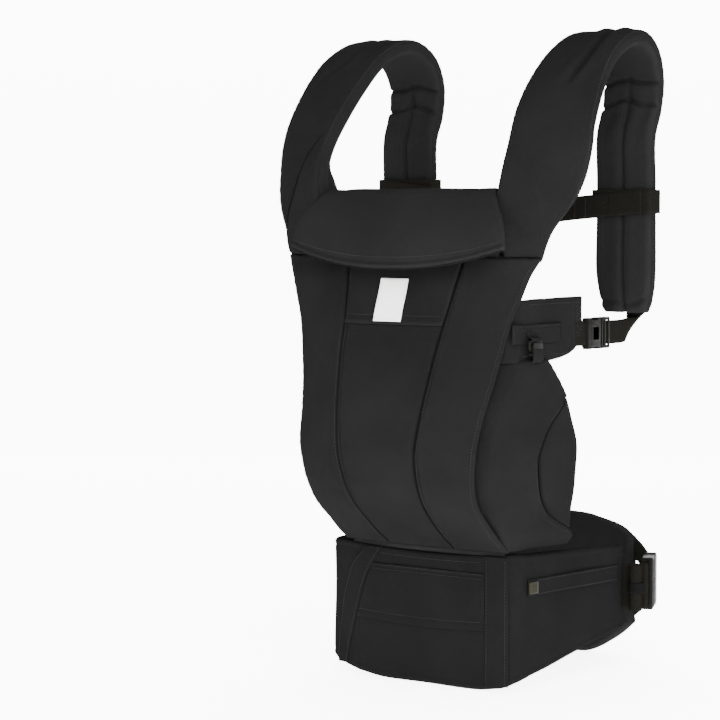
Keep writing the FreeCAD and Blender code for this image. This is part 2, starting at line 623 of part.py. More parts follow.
def buckle(tag, kind, web, barb, place, catch):
    """Local x is the pull direction, y the width and z the thickness; x = 0 is the mouth."""
    W, TH = "Sizes.%s_w" % kind, "Sizes.%s_t" % kind
    LF, LM = "Sizes.%s_fem" % kind, "Sizes.%s_male" % kind
    WB, WALL, SK = "Sizes.%s" % web, "Sizes.wall", "Sizes.skin"
    f = [box(tag + "_f0", "-" + LF, "-%s/2" % W, "-%s/2" % TH, LF, W, TH)]
    c = [box(tag + "_f1", "-%s + 6" % LF, "-%s/2 + %s" % (W, WALL), "-%s/2 + %s" % (TH, SK),
             "%s - 6 + 1" % LF, "%s - 2*%s" % (W, WALL), "%s - 2*%s" % (TH, SK)),
         box(tag + "_f2", "-%s + 7" % LF, "-%s/2 - 1" % W, "-%s/2 + %s" % (TH, SK),
             "%s - 7 - 6" % LF, "%s + 2" % W, "%s - 2*%s" % (TH, SK)),
         box(tag + "_f3", "-%s + 1.6" % LF, "-%s/2 - 0.5" % WB, "-%s/2 - 1" % TH,
             "2.6", "%s + 1" % WB, "%s + 2" % TH)]
    combine(tag + "_female", f, c, place)
    m = [box(tag + "_m0", "0.6", "-%s/2" % W, "-%s/2 + 0.5" % TH, "%s - 0.6" % LM, W, "%s - 1" % TH),
         box(tag + "_m1", "-%s + 8" % LF, "-3", "-%s/2 + %s + 0.5" % (TH, SK),
             "%s - 8 + 2" % LF, "6", "%s - 2*%s - 1" % (TH, SK))]
    mc = [box(tag + "_m2", "5", "-%s/2 - 1" % WB, "-%s/2 - 1" % TH, "%s/2 - 6" % LM, "%s + 2" % WB, "%s + 2" % TH),
          box(tag + "_m3", "%s/2 + 2" % LM, "-%s/2 - 1" % WB, "-%s/2 - 1" % TH, "%s/2 - 4.5" % LM, "%s + 2" % WB, "%s + 2" % TH),
          box(tag + "_m4", "3.4", "-%s/2 - 0.7" % WB, "-1.9", "%s" % LM, "%s + 1.4" % WB, "3.8")]
    combine(tag + "_male", m, mc, place)
    yo_ = "%s/2 - %s - Sizes.play" % (W, WALL)
    AT = "Sizes.arm_t"
    hz, hh = "-%s/2 + %s + 0.5" % (TH, SK), "%s - 2*%s - 1" % (TH, SK)
    la = "%s - 8.5" % LF
    a = [box(tag + "_a0", "-(%s)" % la, "%s - %s" % (yo_, AT), hz, la, AT, hh),
         box(tag + "_a1", "-(%s)" % la, "%s - 1" % yo_, hz, "%s - %g" % (la, catch), "1 + Sizes.play + Sizes.%s" % barb, hh)]
    combine(tag + "_arm_a", a, [], place)
    b = [box(tag + "_b0", "-(%s)" % la, "-(%s)" % yo_, hz, la, AT, hh),
         box(tag + "_b1", "-(%s)" % la, "-(%s) - Sizes.play - Sizes.%s" % (yo_, barb), hz, "%s - %g" % (la, catch), "1 + Sizes.play + Sizes.%s" % barb, hh)]
    combine(tag + "_arm_b", b, [], place)


buckle("waist_buckle", "waist", "web_wide", "barb_waist",
       frame((WM[0], WM[1], WZ), WE, (0, 0, 1), (WE[1], -WE[0], 0)), 12.0)
# side buckles: the female half is on the side band, the male pulls out to the rear
SBX, SBY, SBZ = 134.5, 3.0, 371.0
buckle("side_buckle_right", "small", "web_narrow", "barb_small",
       frame((SBX, SBY + 0.0, SBZ), (0, 1, 0), (0, 0, 1), (1, 0, 0)), 11.0)
buckle("side_buckle_left", "small", "web_narrow", "barb_small",
       frame((-SBX, SBY + 0.0, SBZ), (0, 1, 0), (0, 0, -1), (-1, 0, 0)), 11.0)
# chest buckle in the middle of the cross strap
CY, CZ = 28.0, 497.0
buckle("chest_buckle", "small", "web_narrow", "barb_small",
       frame((0.0, CY, CZ), (1, 0, 0), (0, 0, 1), (0, -1, 0)), 11.0)

# Side webbings: sewn behind each strap's end, through the male half
sw = [(SBX + 0.9, SBY + SZ["small_male"] + 0.3, SBZ, 0, 0, 1, 25),
      (SBX + 0.9, SBY + 42.0, SBZ, 0, 0, 1, 25),
      (SBX + 1.2, SBY + 55.0, SBZ + 1.5, 0.12, 0, 1, 25), (138.0, 66.0, 376.0, 0.7, 0, 0.9, 25),
      (141.5, 68.5, 392.0, 1, 0, 0.12, 25), (142.0, 60.5, 412.0, 1, 0, 0, 25)]
ribbon("side_webbing_right", sw, WT)
ribbon("side_webbing_left", [(-a, b, c, -d, e, f, g) for a, b, c, d, e, f, g in sw], WT)

# ---------------------------------------------------------------- chest strap
ZR, ZL = 509.0, 521.0
for label, sx, zz in (("chest_loop_right", 1, ZR), ("chest_loop_left", -1, ZL)):
    pad_body(label, "Sizes.loop_in_x + 2*Sizes.loop_t", "Sizes.loop_in_y + 2*Sizes.loop_t",
             "Sizes.web_narrow", FreeCAD.Placement(V(sx * 143.0, 44.0, zz), FreeCAD.Rotation()),
             hole=("Sizes.loop_in_x", "Sizes.loop_in_y"))
lf = 44.0 - SZ["loop_in_y"] / 2 - SZ["loop_t"]
ribbon("chest_webbing_right", [(SZ["small_male"] + 0.3, CY - 0.9, CZ, 0, 0, 1, 25),
                               (38.0, CY - 0.9, CZ, 0, 0, 1, 25),
                               (95.0, lf - 1.2, 502.5, 0, 0, 1, 25), (170.0, lf - 1.0, ZR, 0, 0, 1, 25)], WT)
ribbon("chest_webbing_left", [(-24.8, CY, CZ, 0, 0, 1, 25), (-95.0, lf - 1.2, 511.5, 0, 0, 1, 25),
                              (-170.0, lf - 1.0, ZL, 0, 0, 1, 25)], WT)

# ---------------------------------------------------------------- seat adjusters
# a sewn channel along each wing, with a tab that slides in it
for side in (1, -1):
    tag = "right" if side > 0 else "left"
    if side > 0:
        a, b = V(115.0, -98.0, 0), V(124.6, 60.0, 0)
    else:
        a, b = V(-140.7, -76.0, 0), V(-140.2, -22.0, 0)
    d = b - a
    length = d.Length
    d.normalize()
    nrm = V(d.y, -d.x, 0) if side > 0 else V(-d.y, d.x, 0)
    ch = doc.addObject("Part::Box", "adjuster_channel_" + tag)
    ch.Length = length
    ch.Width = 1.2
    ch.setExpression("Height", "Sizes.channel_w")
    o = a + nrm * 0.9 + V(0, 0, 101)
    ey = (nrm.x, nrm.y, 0)
    ez = (0, 0, 1)
    ex = (d.x, d.y, 0)
    if side > 0:
        # keep the box's frame right-handed: run it from the rear end forward
        o = b + nrm * 0.9 + V(0, 0, 101)
        ex = (-d.x, -d.y, 0)
    ch.Placement = frame((o.x, o.y, o.z), ex, ey, ez)
    keep(ch, "adjuster_channel_" + tag)
    tab_c = (a if side > 0 else a) + d * 6.0 + nrm * (0.9 + 1.2 + 0.4 + SZ["tab_t"] / 2) + V(0, 0, 110.0)
    pad_body("seat_adjuster_" + tag, "Sizes.tab_l", "Sizes.tab_w", "Sizes.tab_t",
             frame((tab_c.x, tab_c.y, tab_c.z), ex, (0, 0, 1), (ex[1], -ex[0], 0)), fillet=1.2)

# ---------------------------------------------------------------- leg hooks and rings
HY, HZ = -121.0, 349.4
for side in (1, -1):
    tag = "right" if side > 0 else "left"
    x_ring = 139.2
    ring = pad_body("leg_ring_" + tag, "Sizes.ring_w", "Sizes.ring_l", "Sizes.ring_t",
                    frame((side * x_ring, HY, 363.0), (0, side * 1, 0), (0, 0, 1), (side, 0, 0)),
                    hole=("Sizes.ring_w - 4", "Sizes.ring_l - 5"))
    # the hook is a C, open towards the body, over the ring's lower bar
    x0 = 141.4
    hk = [box("hook_plate_" + tag, "%g" % x0, "-Sizes.hook_w/2", "0", "2.2", "Sizes.hook_w", "16.5"),
          box("hook_low_" + tag, "%g" % (x0 - 4.6), "-Sizes.hook_w/2", "4.0", "5", "Sizes.hook_w", "1.5"),
          box("hook_high_" + tag, "%g" % (x0 - 4.6), "-Sizes.hook_w/2 + 1", "11.6", "5", "Sizes.hook_w - 2", "1.2")]
    if side > 0:
        pl = FreeCAD.Placement(V(0, HY, HZ), FreeCAD.Rotation())
    else:
        pl = FreeCAD.Placement(V(0, HY, HZ), FreeCAD.Rotation(V(0, 0, 1), 180))
    combine("leg_hook_" + tag, hk, [], pl)

# ---------------------------------------------------------------- check and write
doc.recompute()
# the origin is the middle of the footprint of the whole object
move = FreeCAD.Placement(V(0, SZ["shift_y"], 0), FreeCAD.Rotation())
for label, o in parts:
    o.Placement = move * o.Placement
doc.recompute()
bad = []
for o in doc.Objects:
    if "Invalid" in o.State or "Error" in o.State:
        bad.append("%s: %s" % (o.Label, o.State))
for label, o in parts:
    s = o.Shape
    if s.isNull() or not s.isValid() or not s.Solids or s.Volume <= 0:
        bad.append("%s: null %s valid %s volume %s" % (
            label, s.isNull(), s.isValid() if not s.isNull() else None, None if s.isNull() else s.Volume))
if bad:
    raise RuntimeError("; ".join(bad))
box_all = FreeCAD.BoundBox()
for label, o in parts:
    box_all.add(o.Shape.BoundBox)
    o.Shape.exportStep("parts/%s.step" % label)
print("nodes", len(parts))
print("box", [round(v, 2) for v in (box_all.XMin, box_all.YMin, box_all.ZMin,
                                     box_all.XMax, box_all.YMax, box_all.ZMax)])
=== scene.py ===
import bpy
import bmesh
import math
import numpy as np
from mathutils import Vector, Matrix


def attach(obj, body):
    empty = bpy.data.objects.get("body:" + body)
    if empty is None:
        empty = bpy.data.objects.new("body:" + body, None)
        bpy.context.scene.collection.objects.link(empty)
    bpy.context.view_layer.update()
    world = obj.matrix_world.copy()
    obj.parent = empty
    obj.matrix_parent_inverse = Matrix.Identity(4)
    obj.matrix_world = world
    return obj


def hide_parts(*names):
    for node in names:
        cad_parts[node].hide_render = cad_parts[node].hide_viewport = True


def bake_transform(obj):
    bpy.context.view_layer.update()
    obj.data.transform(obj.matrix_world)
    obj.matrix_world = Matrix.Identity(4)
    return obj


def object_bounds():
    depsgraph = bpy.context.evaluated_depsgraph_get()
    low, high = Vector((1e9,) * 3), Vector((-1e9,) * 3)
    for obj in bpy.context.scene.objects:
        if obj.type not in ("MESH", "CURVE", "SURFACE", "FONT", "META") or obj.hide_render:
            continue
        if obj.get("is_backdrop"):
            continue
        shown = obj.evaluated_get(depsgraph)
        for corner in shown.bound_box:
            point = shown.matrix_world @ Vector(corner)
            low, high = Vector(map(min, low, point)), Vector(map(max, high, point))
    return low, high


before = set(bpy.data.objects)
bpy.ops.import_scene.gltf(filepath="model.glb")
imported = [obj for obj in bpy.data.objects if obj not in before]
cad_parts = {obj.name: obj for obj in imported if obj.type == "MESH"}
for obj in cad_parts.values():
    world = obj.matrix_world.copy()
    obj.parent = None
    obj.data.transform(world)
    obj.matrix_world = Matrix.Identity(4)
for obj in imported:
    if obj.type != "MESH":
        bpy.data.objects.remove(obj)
cad_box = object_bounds()

# Soft baby carrier. Lengths below are millimetres about the wearer's axis; out() turns them
# into metres in the shared frame, whose origin is the middle of the footprint.
SHIFT = 21.25
ROOT = "carrier"


def out(p):
    a = np.asarray(p, float).copy()
    a[..., 1] += SHIFT
    return a / 1000.0


# ------------------------------------------------------------------ materials
def nodes_of(name):
    m = bpy.data.materials.new(name)
    m.use_nodes = True
    nt = m.node_tree
    nt.nodes.clear()
    o = nt.nodes.new("ShaderNodeOutputMaterial")
    b = nt.nodes.new("ShaderNodeBsdfPrincipled")
    nt.links.new(b.outputs[0], o.inputs[0])
    return m, nt, b


def math_node(nt, op, a, b=None):
    n = nt.nodes.new("ShaderNodeMath")
    n.operation = op
    for i, v in enumerate((a, b)):
        if v is None:
            continue
        if isinstance(v, (int, float)):
            n.inputs[i].default_value = v
        else:
            nt.links.new(v, n.inputs[i])
    return n.outputs[0]


def ramp(nt, fac, stops):
    n = nt.nodes.new("ShaderNodeValToRGB")
    e = n.color_ramp.elements
    e[0].position, e[0].color = stops[0][0], (*stops[0][1], 1)
    e[1].position, e[1].color = stops[-1][0], (*stops[-1][1], 1)
    for p, c in stops[1:-1]:
        k = e.new(p)
        k.color = (*c, 1)
    nt.links.new(fac, n.inputs[0])
    return n.outputs[0]


DARK = 0.245


def cloth_material(name, base, pitch=0.55, twill=False, rough=0.86, sheen=0.25, bump=0.00022,
                   var=0.16, wear=0.25):
    """Woven cloth: threads from the surface's own metres, dye variation, rubbed edges."""
    base = tuple(c * DARK for c in base) if max(base) < 0.2 else base
    m, nt, b = nodes_of(name)
    uv = nt.nodes.new("ShaderNodeUVMap")
    uv.uv_map = "cloth"
    sep = nt.nodes.new("ShaderNodeSeparateXYZ")
    nt.links.new(uv.outputs[0], sep.inputs[0])
    k = 2 * math.pi / (pitch / 1000.0)
    u = math_node(nt, "MULTIPLY", sep.outputs[0], k)
    v = math_node(nt, "MULTIPLY", sep.outputs[1], k)
    if twill:
        d1 = math_node(nt, "SINE", math_node(nt, "ADD", u, math_node(nt, "MULTIPLY", v, 0.5)))
        d2 = math_node(nt, "SINE", math_node(nt, "MULTIPLY", v, 1.0))
        weave = math_node(nt, "ADD", math_node(nt, "MULTIPLY", d1, 0.7), math_node(nt, "MULTIPLY", d2, 0.3))
    else:
        weave = math_node(nt, "MULTIPLY", math_node(nt, "SINE", u), math_node(nt, "SINE", v))
    tex = nt.nodes.new("ShaderNodeTexCoord")
    n1 = nt.nodes.new("ShaderNodeTexNoise")
    n1.inputs["Scale"].default_value = 14.0
    n1.inputs["Detail"].default_value = 5.0
    nt.links.new(tex.outputs["Object"], n1.inputs["Vector"])
    n2 = nt.nodes.new("ShaderNodeTexNoise")
    n2.inputs["Scale"].default_value = 900.0
    n2.inputs["Detail"].default_value = 1.6
    nt.links.new(tex.outputs["Object"], n2.inputs["Vector"])
    mixv = math_node(nt, "ADD", math_node(nt, "MULTIPLY", n1.outputs[0], 0.6),
                     math_node(nt, "MULTIPLY", n2.outputs[0], 0.4))
    lo = tuple(c * (1 - var) for c in base)
    hi = tuple(c * (1 + var) for c in base)
    col = ramp(nt, mixv, [(0.32, lo), (0.68, hi)])
    # threads catch light on their crowns
    th = nt.nodes.new("ShaderNodeMix")
    th.data_type = "RGBA"
    th.blend_type = "MULTIPLY"
    th.inputs["Factor"].default_value = 1.0
    wv = math_node(nt, "ADD", math_node(nt, "MULTIPLY", weave, 0.10), 0.95)
    comb = nt.nodes.new("ShaderNodeCombineXYZ")
    for i in range(3):
        nt.links.new(wv, comb.inputs[i])
    nt.links.new(col, th.inputs["A"])
    nt.links.new(comb.outputs[0], th.inputs["B"])
    geo = nt.nodes.new("ShaderNodeNewGeometry")
    edge = math_node(nt, "MULTIPLY",
                     math_node(nt, "SUBTRACT", geo.outputs["Pointiness"], 0.52), 9.0)
    cl = nt.nodes.new("ShaderNodeClamp")
    nt.links.new(edge, cl.inputs[0])
    wm = math_node(nt, "MULTIPLY", cl.outputs[0], wear)
    wmix = nt.nodes.new("ShaderNodeMix")
    wmix.data_type = "RGBA"
    nt.links.new(wm, wmix.inputs["Factor"])
    nt.links.new(th.outputs["Result"], wmix.inputs["A"])
    wmix.inputs["B"].default_value = (*[min(1, c * 1.9) for c in base], 1)
    nt.links.new(wmix.outputs["Result"], b.inputs["Base Color"])
    rr = math_node(nt, "ADD", math_node(nt, "MULTIPLY", n1.outputs[0], 0.12), rough - 0.06)
    nt.links.new(rr, b.inputs["Roughness"])
    bp = nt.nodes.new("ShaderNodeBump")
    bp.inputs["Strength"].default_value = 0.55
    bp.inputs["Distance"].default_value = bump
    hgt = math_node(nt, "ADD", weave, math_node(nt, "MULTIPLY", n2.outputs[0], 0.8))
    nt.links.new(hgt, bp.inputs["Height"])
    nt.links.new(bp.outputs[0], b.inputs["Normal"])
    b.inputs["Sheen Weight"].default_value = 0.0
    b.inputs["Sheen Roughness"].default_value = 0.45
    b.inputs["Specular IOR Level"].default_value = 0.0
    return m


def plastic_material(name, base, rough=0.42, wear=0.35):
    """Moulded plastic: fine spark-eroded grain, faint flow variation, polished rubbed edges."""
    base = tuple(c * 0.20 for c in base)
    m, nt, b = nodes_of(name)
    tex = nt.nodes.new("ShaderNodeTexCoord")
    n1 = nt.nodes.new("ShaderNodeTexNoise")
    n1.inputs["Scale"].default_value = 60.0
    nt.links.new(tex.outputs["Object"], n1.inputs["Vector"])
    n2 = nt.nodes.new("ShaderNodeTexNoise")
    n2.inputs["Scale"].default_value = 2600.0
    nt.links.new(tex.outputs["Object"], n2.inputs["Vector"])
    col = ramp(nt, n1.outputs[0], [(0.3, tuple(c * 0.85 for c in base)),
                                   (0.7, tuple(c * 1.15 for c in base))])
    geo = nt.nodes.new("ShaderNodeNewGeometry")
    edge = math_node(nt, "MULTIPLY", math_node(nt, "SUBTRACT", geo.outputs["Pointiness"], 0.52), 8.0)
    cl = nt.nodes.new("ShaderNodeClamp")
    nt.links.new(edge, cl.inputs[0])
    wmix = nt.nodes.new("ShaderNodeMix")
    wmix.data_type = "RGBA"
    nt.links.new(math_node(nt, "MULTIPLY", cl.outputs[0], wear), wmix.inputs["Factor"])
    nt.links.new(col, wmix.inputs["A"])
    wmix.inputs["B"].default_value = (*[min(1, c * 2.6) for c in base], 1)
    nt.links.new(wmix.outputs["Result"], b.inputs["Base Color"])
    nt.links.new(math_node(nt, "ADD", math_node(nt, "MULTIPLY", n1.outputs[0], 0.16), rough - 0.08),
                 b.inputs["Roughness"])
    bp = nt.nodes.new("ShaderNodeBump")
    bp.inputs["Strength"].default_value = 0.3
    bp.inputs["Distance"].default_value = 0.00005
    nt.links.new(n2.outputs[0], bp.inputs["Height"])
    nt.links.new(bp.outputs[0], b.inputs["Normal"])
    b.inputs["Specular IOR Level"].default_value = 0.03
    return m


SHELL_M = cloth_material("shell_cloth", (0.0235, 0.0235, 0.0240))
# the head support's cloth is the shell's cloth painted lighter: painted light for the flap's more upward-facing
# surface
FLAP_PAINTED_LIGHT_M = cloth_material("flap_cloth_painted_lighter", (0.0275, 0.0275, 0.0280))
LINING_M = cloth_material("lining_cloth", (0.0300, 0.0300, 0.0305), pitch=0.7, sheen=0.15)
BELT_M = cloth_material("belt_cloth", (0.0200, 0.0200, 0.0204), pitch=0.6)
BIND_M = cloth_material("binding_tape", (0.0135, 0.0135, 0.0137), pitch=0.9, sheen=0.15)
WEB_M = cloth_material("twill_webbing", (0.0185, 0.0178, 0.0150), pitch=2.2, twill=True, rough=0.7,
                       sheen=0.15, bump=0.00045)
# the stitching thread is black like the cloth; its lighter colour is a painted highlight along the stitches
THREAD_PAINTED_HIGHLIGHT_M = cloth_material("thread", (0.062, 0.062, 0.063), pitch=0.3, rough=0.6, sheen=0.1)
# near-black cloth: dark stitches, and the thin tubes that paint shade along the panel seams and the left gusset's slit
DARK_THREAD_AND_SHADE_M = cloth_material("dark_thread_and_painted_shade", (0.011, 0.011, 0.011), pitch=0.3, rough=0.8, sheen=0.0)
LABEL_M = cloth_material("label_satin", (0.70, 0.70, 0.69), pitch=0.4, rough=0.55, sheen=0.1,
                         var=0.03, wear=0.05)
LABEL_T = cloth_material("label_thread", (0.42, 0.42, 0.42), pitch=0.3, var=0.05)
PLASTIC_M = plastic_material("acetal", (0.0165, 0.0162, 0.0140), rough=0.6, wear=0.2)
TAB_M = plastic_material("tab_plastic", (0.050, 0.047, 0.033), rough=0.6)


# ------------------------------------------------------------------ small maths
def pchip(xs, ys, x):
    """Shape-preserving cubic through a table."""
    xs, ys, x = np.asarray(xs, float), np.asarray(ys, float), np.asarray(x, float)
    hh = np.diff(xs)
    dl = np.diff(ys) / hh
    d = np.zeros_like(ys)
    for i in range(1, len(xs) - 1):
        if dl[i - 1] * dl[i] > 0:
            w1, w2 = 2 * hh[i] + hh[i - 1], hh[i] + 2 * hh[i - 1]
            d[i] = (w1 + w2) / (w1 / dl[i - 1] + w2 / dl[i])
    d[0], d[-1] = dl[0], dl[-1]
    k = np.clip(np.searchsorted(xs, x) - 1, 0, len(xs) - 2)
    tt = np.clip((x - xs[k]) / hh[k], 0, 1)
    return ((2 * tt ** 3 - 3 * tt ** 2 + 1) * ys[k] + (tt ** 3 - 2 * tt ** 2 + tt) * hh[k] * d[k]
            + (-2 * tt ** 3 + 3 * tt ** 2) * ys[k + 1] + (tt ** 3 - tt ** 2) * hh[k] * d[k + 1])


def spline(pts, n, closed=False):
    """Centripetal Catmull-Rom through rows of any width, evenly resampled to n rows."""
    p = np.asarray(pts, float)
    if closed:
        q = np.vstack([p[-1], p, p[0], p[1]])
    else:
        q = np.vstack([2 * p[0] - p[1], p, 2 * p[-1] - p[-2]])
    res = []
    for i in range(1, len(q) - 2):
        p0, p1, p2, p3 = q[i - 1], q[i], q[i + 1], q[i + 2]
        d = [max(np.linalg.norm((b - a)[:3]), 1e-6) ** 0.5 for a, b in ((p0, p1), (p1, p2), (p2, p3))]
        t0, t1 = 0.0, d[0]
        t2, t3 = t1 + d[1], t1 + d[1] + d[2]
        for t in np.linspace(t1, t2, 24, endpoint=False):
            a1 = (t1 - t) / (t1 - t0) * p0 + (t - t0) / (t1 - t0) * p1
            a2 = (t2 - t) / (t2 - t1) * p1 + (t - t1) / (t2 - t1) * p2
            a3 = (t3 - t) / (t3 - t2) * p2 + (t - t2) / (t3 - t2) * p3
            b1 = (t2 - t) / (t2 - t0) * a1 + (t - t0) / (t2 - t0) * a2
            b2 = (t3 - t) / (t3 - t1) * a2 + (t - t1) / (t3 - t1) * a3
            res.append((t2 - t) / (t2 - t1) * b1 + (t - t1) / (t2 - t1) * b2)
    res.append(q[-2])
    res = np.array(res)
    s = np.concatenate([[0], np.cumsum(np.linalg.norm(np.diff(res[:, :3], axis=0), axis=1))])
    x = np.linspace(0, s[-1], n)
    return np.stack([np.interp(x, s, res[:, j]) for j in range(res.shape[1])], axis=1)


def unit(v):
    return v / np.maximum(np.linalg.norm(v, axis=-1, keepdims=True), 1e-9)


def ripple(p, amp, size, seed, octaves=7):
    """Smooth seeded undulation of a field of points, about amp high."""
    rng = np.random.default_rng(seed)
    h = np.zeros(p.shape[:-1])
    for _ in range(octaves):
        d = unit(rng.normal(size=3))
        f = 2 * math.pi / (size * rng.uniform(0.7, 1.6))
        h += np.sin(p @ d * f + rng.uniform(0, 6.28))
    return amp * h / octaves ** 0.5


def normals(g, core=(0.0, -25.0)):
    """Grid normals, pointing away from the wearer's upright axis."""
    du = np.gradient(g, axis=0)
    dv = np.gradient(g, axis=1)
    n = unit(np.cross(du, dv))
    away = g.copy()
    away[..., 0] -= core[0]
    away[..., 1] -= core[1]
    away[..., 2] = 0
    return n if float((n * away).sum(-1).mean()) > 0 else -n


def lengths(g):
    a = np.linalg.norm(np.diff(g, axis=0), axis=2)
    b = np.linalg.norm(np.diff(g, axis=1), axis=2)
    du = np.concatenate([np.zeros((1, g.shape[1])), np.cumsum(a, axis=0)])
    dv = np.concatenate([np.zeros((g.shape[0], 1)), np.cumsum(b, axis=1)], axis=1)
    return du, dv


def grid_params(n, edge=True):
    """Parameters 0..1, closer together at both ends so that edges can roll over."""
    x = np.linspace(0, 1, n)
    return x if not edge else x - 0.11 * np.sin(2 * math.pi * x) / 1.0


# ------------------------------------------------------------------ mesh making
def finish_mesh(name, verts, faces, uvs, mats, face_mats=None, body=ROOT, slot=None,
                replaces=(), smooth=True):
    me = bpy.data.meshes.new(name)
    me.from_pydata([tuple(v) for v in out(verts)], [], faces)
    lay = me.uv_layers.new(name="cloth")
    if uvs is not None:
        uvs = np.asarray(uvs)
        loops = np.empty(len(me.loops), int)
        me.loops.foreach_get("vertex_index", loops)
        lay.data.foreach_set("uv", (uvs[loops] / 1000.0).astype(np.float32).ravel())
    for mt in mats:
        me.materials.append(mt)
    if face_mats is not None:
        me.polygons.foreach_set("material_index", np.asarray(face_mats, np.int32))
    me.polygons.foreach_set("use_smooth", [smooth] * len(me.polygons))
    me.update()
    bm = bmesh.new()
    bm.from_mesh(me)
    bmesh.ops.recalc_face_normals(bm, faces=bm.faces)
    bm.to_mesh(me)
    bm.free()
    ob = bpy.data.objects.new(name, me)
    bpy.context.collection.objects.link(ob)
    if body:
        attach(ob, body)
    if replaces:
        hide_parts(*replaces)
    return ob


def closed_grid(o, i):
    """Vertices, faces and uv of the closed solid between two grids."""
    m, n = o.shape[:2]
    verts = np.vstack([o.reshape(-1, 3), i.reshape(-1, 3)])
    du, dv = lengths(o)
    uv = np.stack([du.ravel(), dv.ravel()], axis=1)
    uvs = np.vstack([uv, uv])
    N = m * n
    idx = np.arange(N).reshape(m, n)
    a, b, c, d = idx[:-1, :-1], idx[:-1, 1:], idx[1:, 1:], idx[1:, :-1]
    f1 = np.stack([a, b, c, d], axis=-1).reshape(-1, 4)
    f2 = f1[:, ::-1] + N
    rim = list(idx[0, :]) + list(idx[1:, -1]) + list(idx[-1, -2::-1]) + list(idx[-2:0:-1, 0])
    f3 = [(rim[(k + 1) % len(rim)], rim[k], rim[k] + N, rim[(k + 1) % len(rim)] + N)
          for k in range(len(rim))]
    faces = [tuple(int(q) for q in f) for f in f1] + [tuple(int(q) for q in f) for f in f2] \
        + [tuple(int(q) for q in f) for f in f3]
    tags = [0] * len(f1) + [1] * len(f2) + [0] * len(f3)
    return verts, faces, uvs, tags


def puff(name, o, i=None, t=6.0, r=4.0, mats=None, bump=None, ends=(1, 1, 1, 1), crown=0.0,
         fill=0.5, low=0.12, **kw):
    """A padded piece from its outer grid (and inner grid, or a thickness): the edges named by
    ends (u0, u1, v0, v1) roll over with radius r, and bump(du, dv, lu, lv) adds height."""
    n = normals(o)
    if i is None:
        i = o - n * t
    mid, half = (o + i) / 2, (o - i) / 2
    du, dv = lengths(mid)
    lu, lv = du[-1:, :], dv[:, -1:]
    d = np.full(du.shape, 1e3)
    for flag, dist in zip(ends, (du, lu - du, dv, lv - dv)):
        if flag:
            d = np.minimum(d, dist)
    q = np.clip(d / r, 0, 1)
    f = low + (1 - low) * np.sqrt(np.clip(1 - (1 - q) ** 2, 0, 1))
    hh = half * f[..., None]
    hn = unit(half)
    add = np.zeros(du.shape)
    if crown:
        add += crown * np.sin(np.pi * np.clip(du / lu, 0, 1)) ** 0.7 * np.sin(np.pi * np.clip(dv / lv, 0, 1)) ** 0.7
    if bump is not None:
        add += bump(du, dv, lu, lv)
    og = mid + hh + hn * add[..., None]
    ig = mid - hh
    verts, faces, uvs, tags = closed_grid(og, ig)
    ob = finish_mesh(name, verts, faces, uvs, mats, tags if len(mats) > 1 else None, **kw)
    return ob, og, ig


def tube(name, pts, radius, mat, n=None, seg=8, closed=False, body=ROOT, slot="shell_fabric"):
    p = spline(pts, n or max(12, len(pts) * 6), closed) if n != 0 else np.asarray(pts, float)
    m = len(p)
    tan = unit(np.gradient(p, axis=0))
    ref = np.array([0.13, 0.21, 0.97])
    a = unit(np.cross(tan, ref))
    b = np.cross(tan, a)
    ang = np.linspace(0, 2 * math.pi, seg, endpoint=False)
    taper = np.ones(m)
    if not closed:
        taper[0] = taper[-1] = 0.35
    ring = p[:, None, :] + radius * taper[:, None, None] * (
        np.cos(ang)[None, :, None] * a[:, None, :] + np.sin(ang)[None, :, None] * b[:, None, :])
    verts = ring.reshape(-1, 3)
    s = np.concatenate([[0], np.cumsum(np.linalg.norm(np.diff(p, axis=0), axis=1))])
    uvs = np.stack([np.repeat(s, seg), np.tile(ang * radius, m)], axis=1)
    faces = []
    for k in range(m - 1):
        for j in range(seg):
            j2 = (j + 1) % seg
            faces.append((k * seg + j, k * seg + j2, (k + 1) * seg + j2, (k + 1) * seg + j))
    faces.append(tuple(range(seg))[::-1])
    faces.append(tuple((m - 1) * seg + j for j in range(seg)))
    return finish_mesh(name, verts, faces, uvs, [mat], body=body, slot=slot)


STITCHES = {}


def stitch(path, nrm, body=ROOT, mat="thread", pitch=3.4, length=2.3, r=0.34, lift=0.18, double=0.0,
           slot="shell_fabric"):
    """Lockstitch thread laid along a path on a surface; written out once per body later."""
    path, nrm = np.asarray(path, float), unit(np.asarray(nrm, float))
    s = np.concatenate([[0], np.cumsum(np.linalg.norm(np.diff(path, axis=0), axis=1))])
    if s[-1] < pitch * 2:
        return
    tan = unit(np.gradient(path, axis=0))
    side = unit(np.cross(nrm, tan))
    for off in ((-double / 2, double / 2) if double else (0.0,)):
        for c in np.arange(pitch * 0.7, s[-1] - pitch * 0.5, pitch):
            def at(x):
                return np.array([np.interp(x, s, path[:, j]) for j in range(3)])
            n = unit(np.array([np.interp(c, s, nrm[:, j]) for j in range(3)]))
            w = unit(np.array([np.interp(c, s, side[:, j]) for j in range(3)]))
            a, m, b = at(c - length / 2), at(c), at(c + length / 2)
            pts = [a + n * (lift - 0.35), m + n * (lift + 0.12), b + n * (lift - 0.35)]
            pts = [q + w * off for q in pts]
            STITCHES.setdefault((body, mat, slot), []).append((pts, n, w, r))


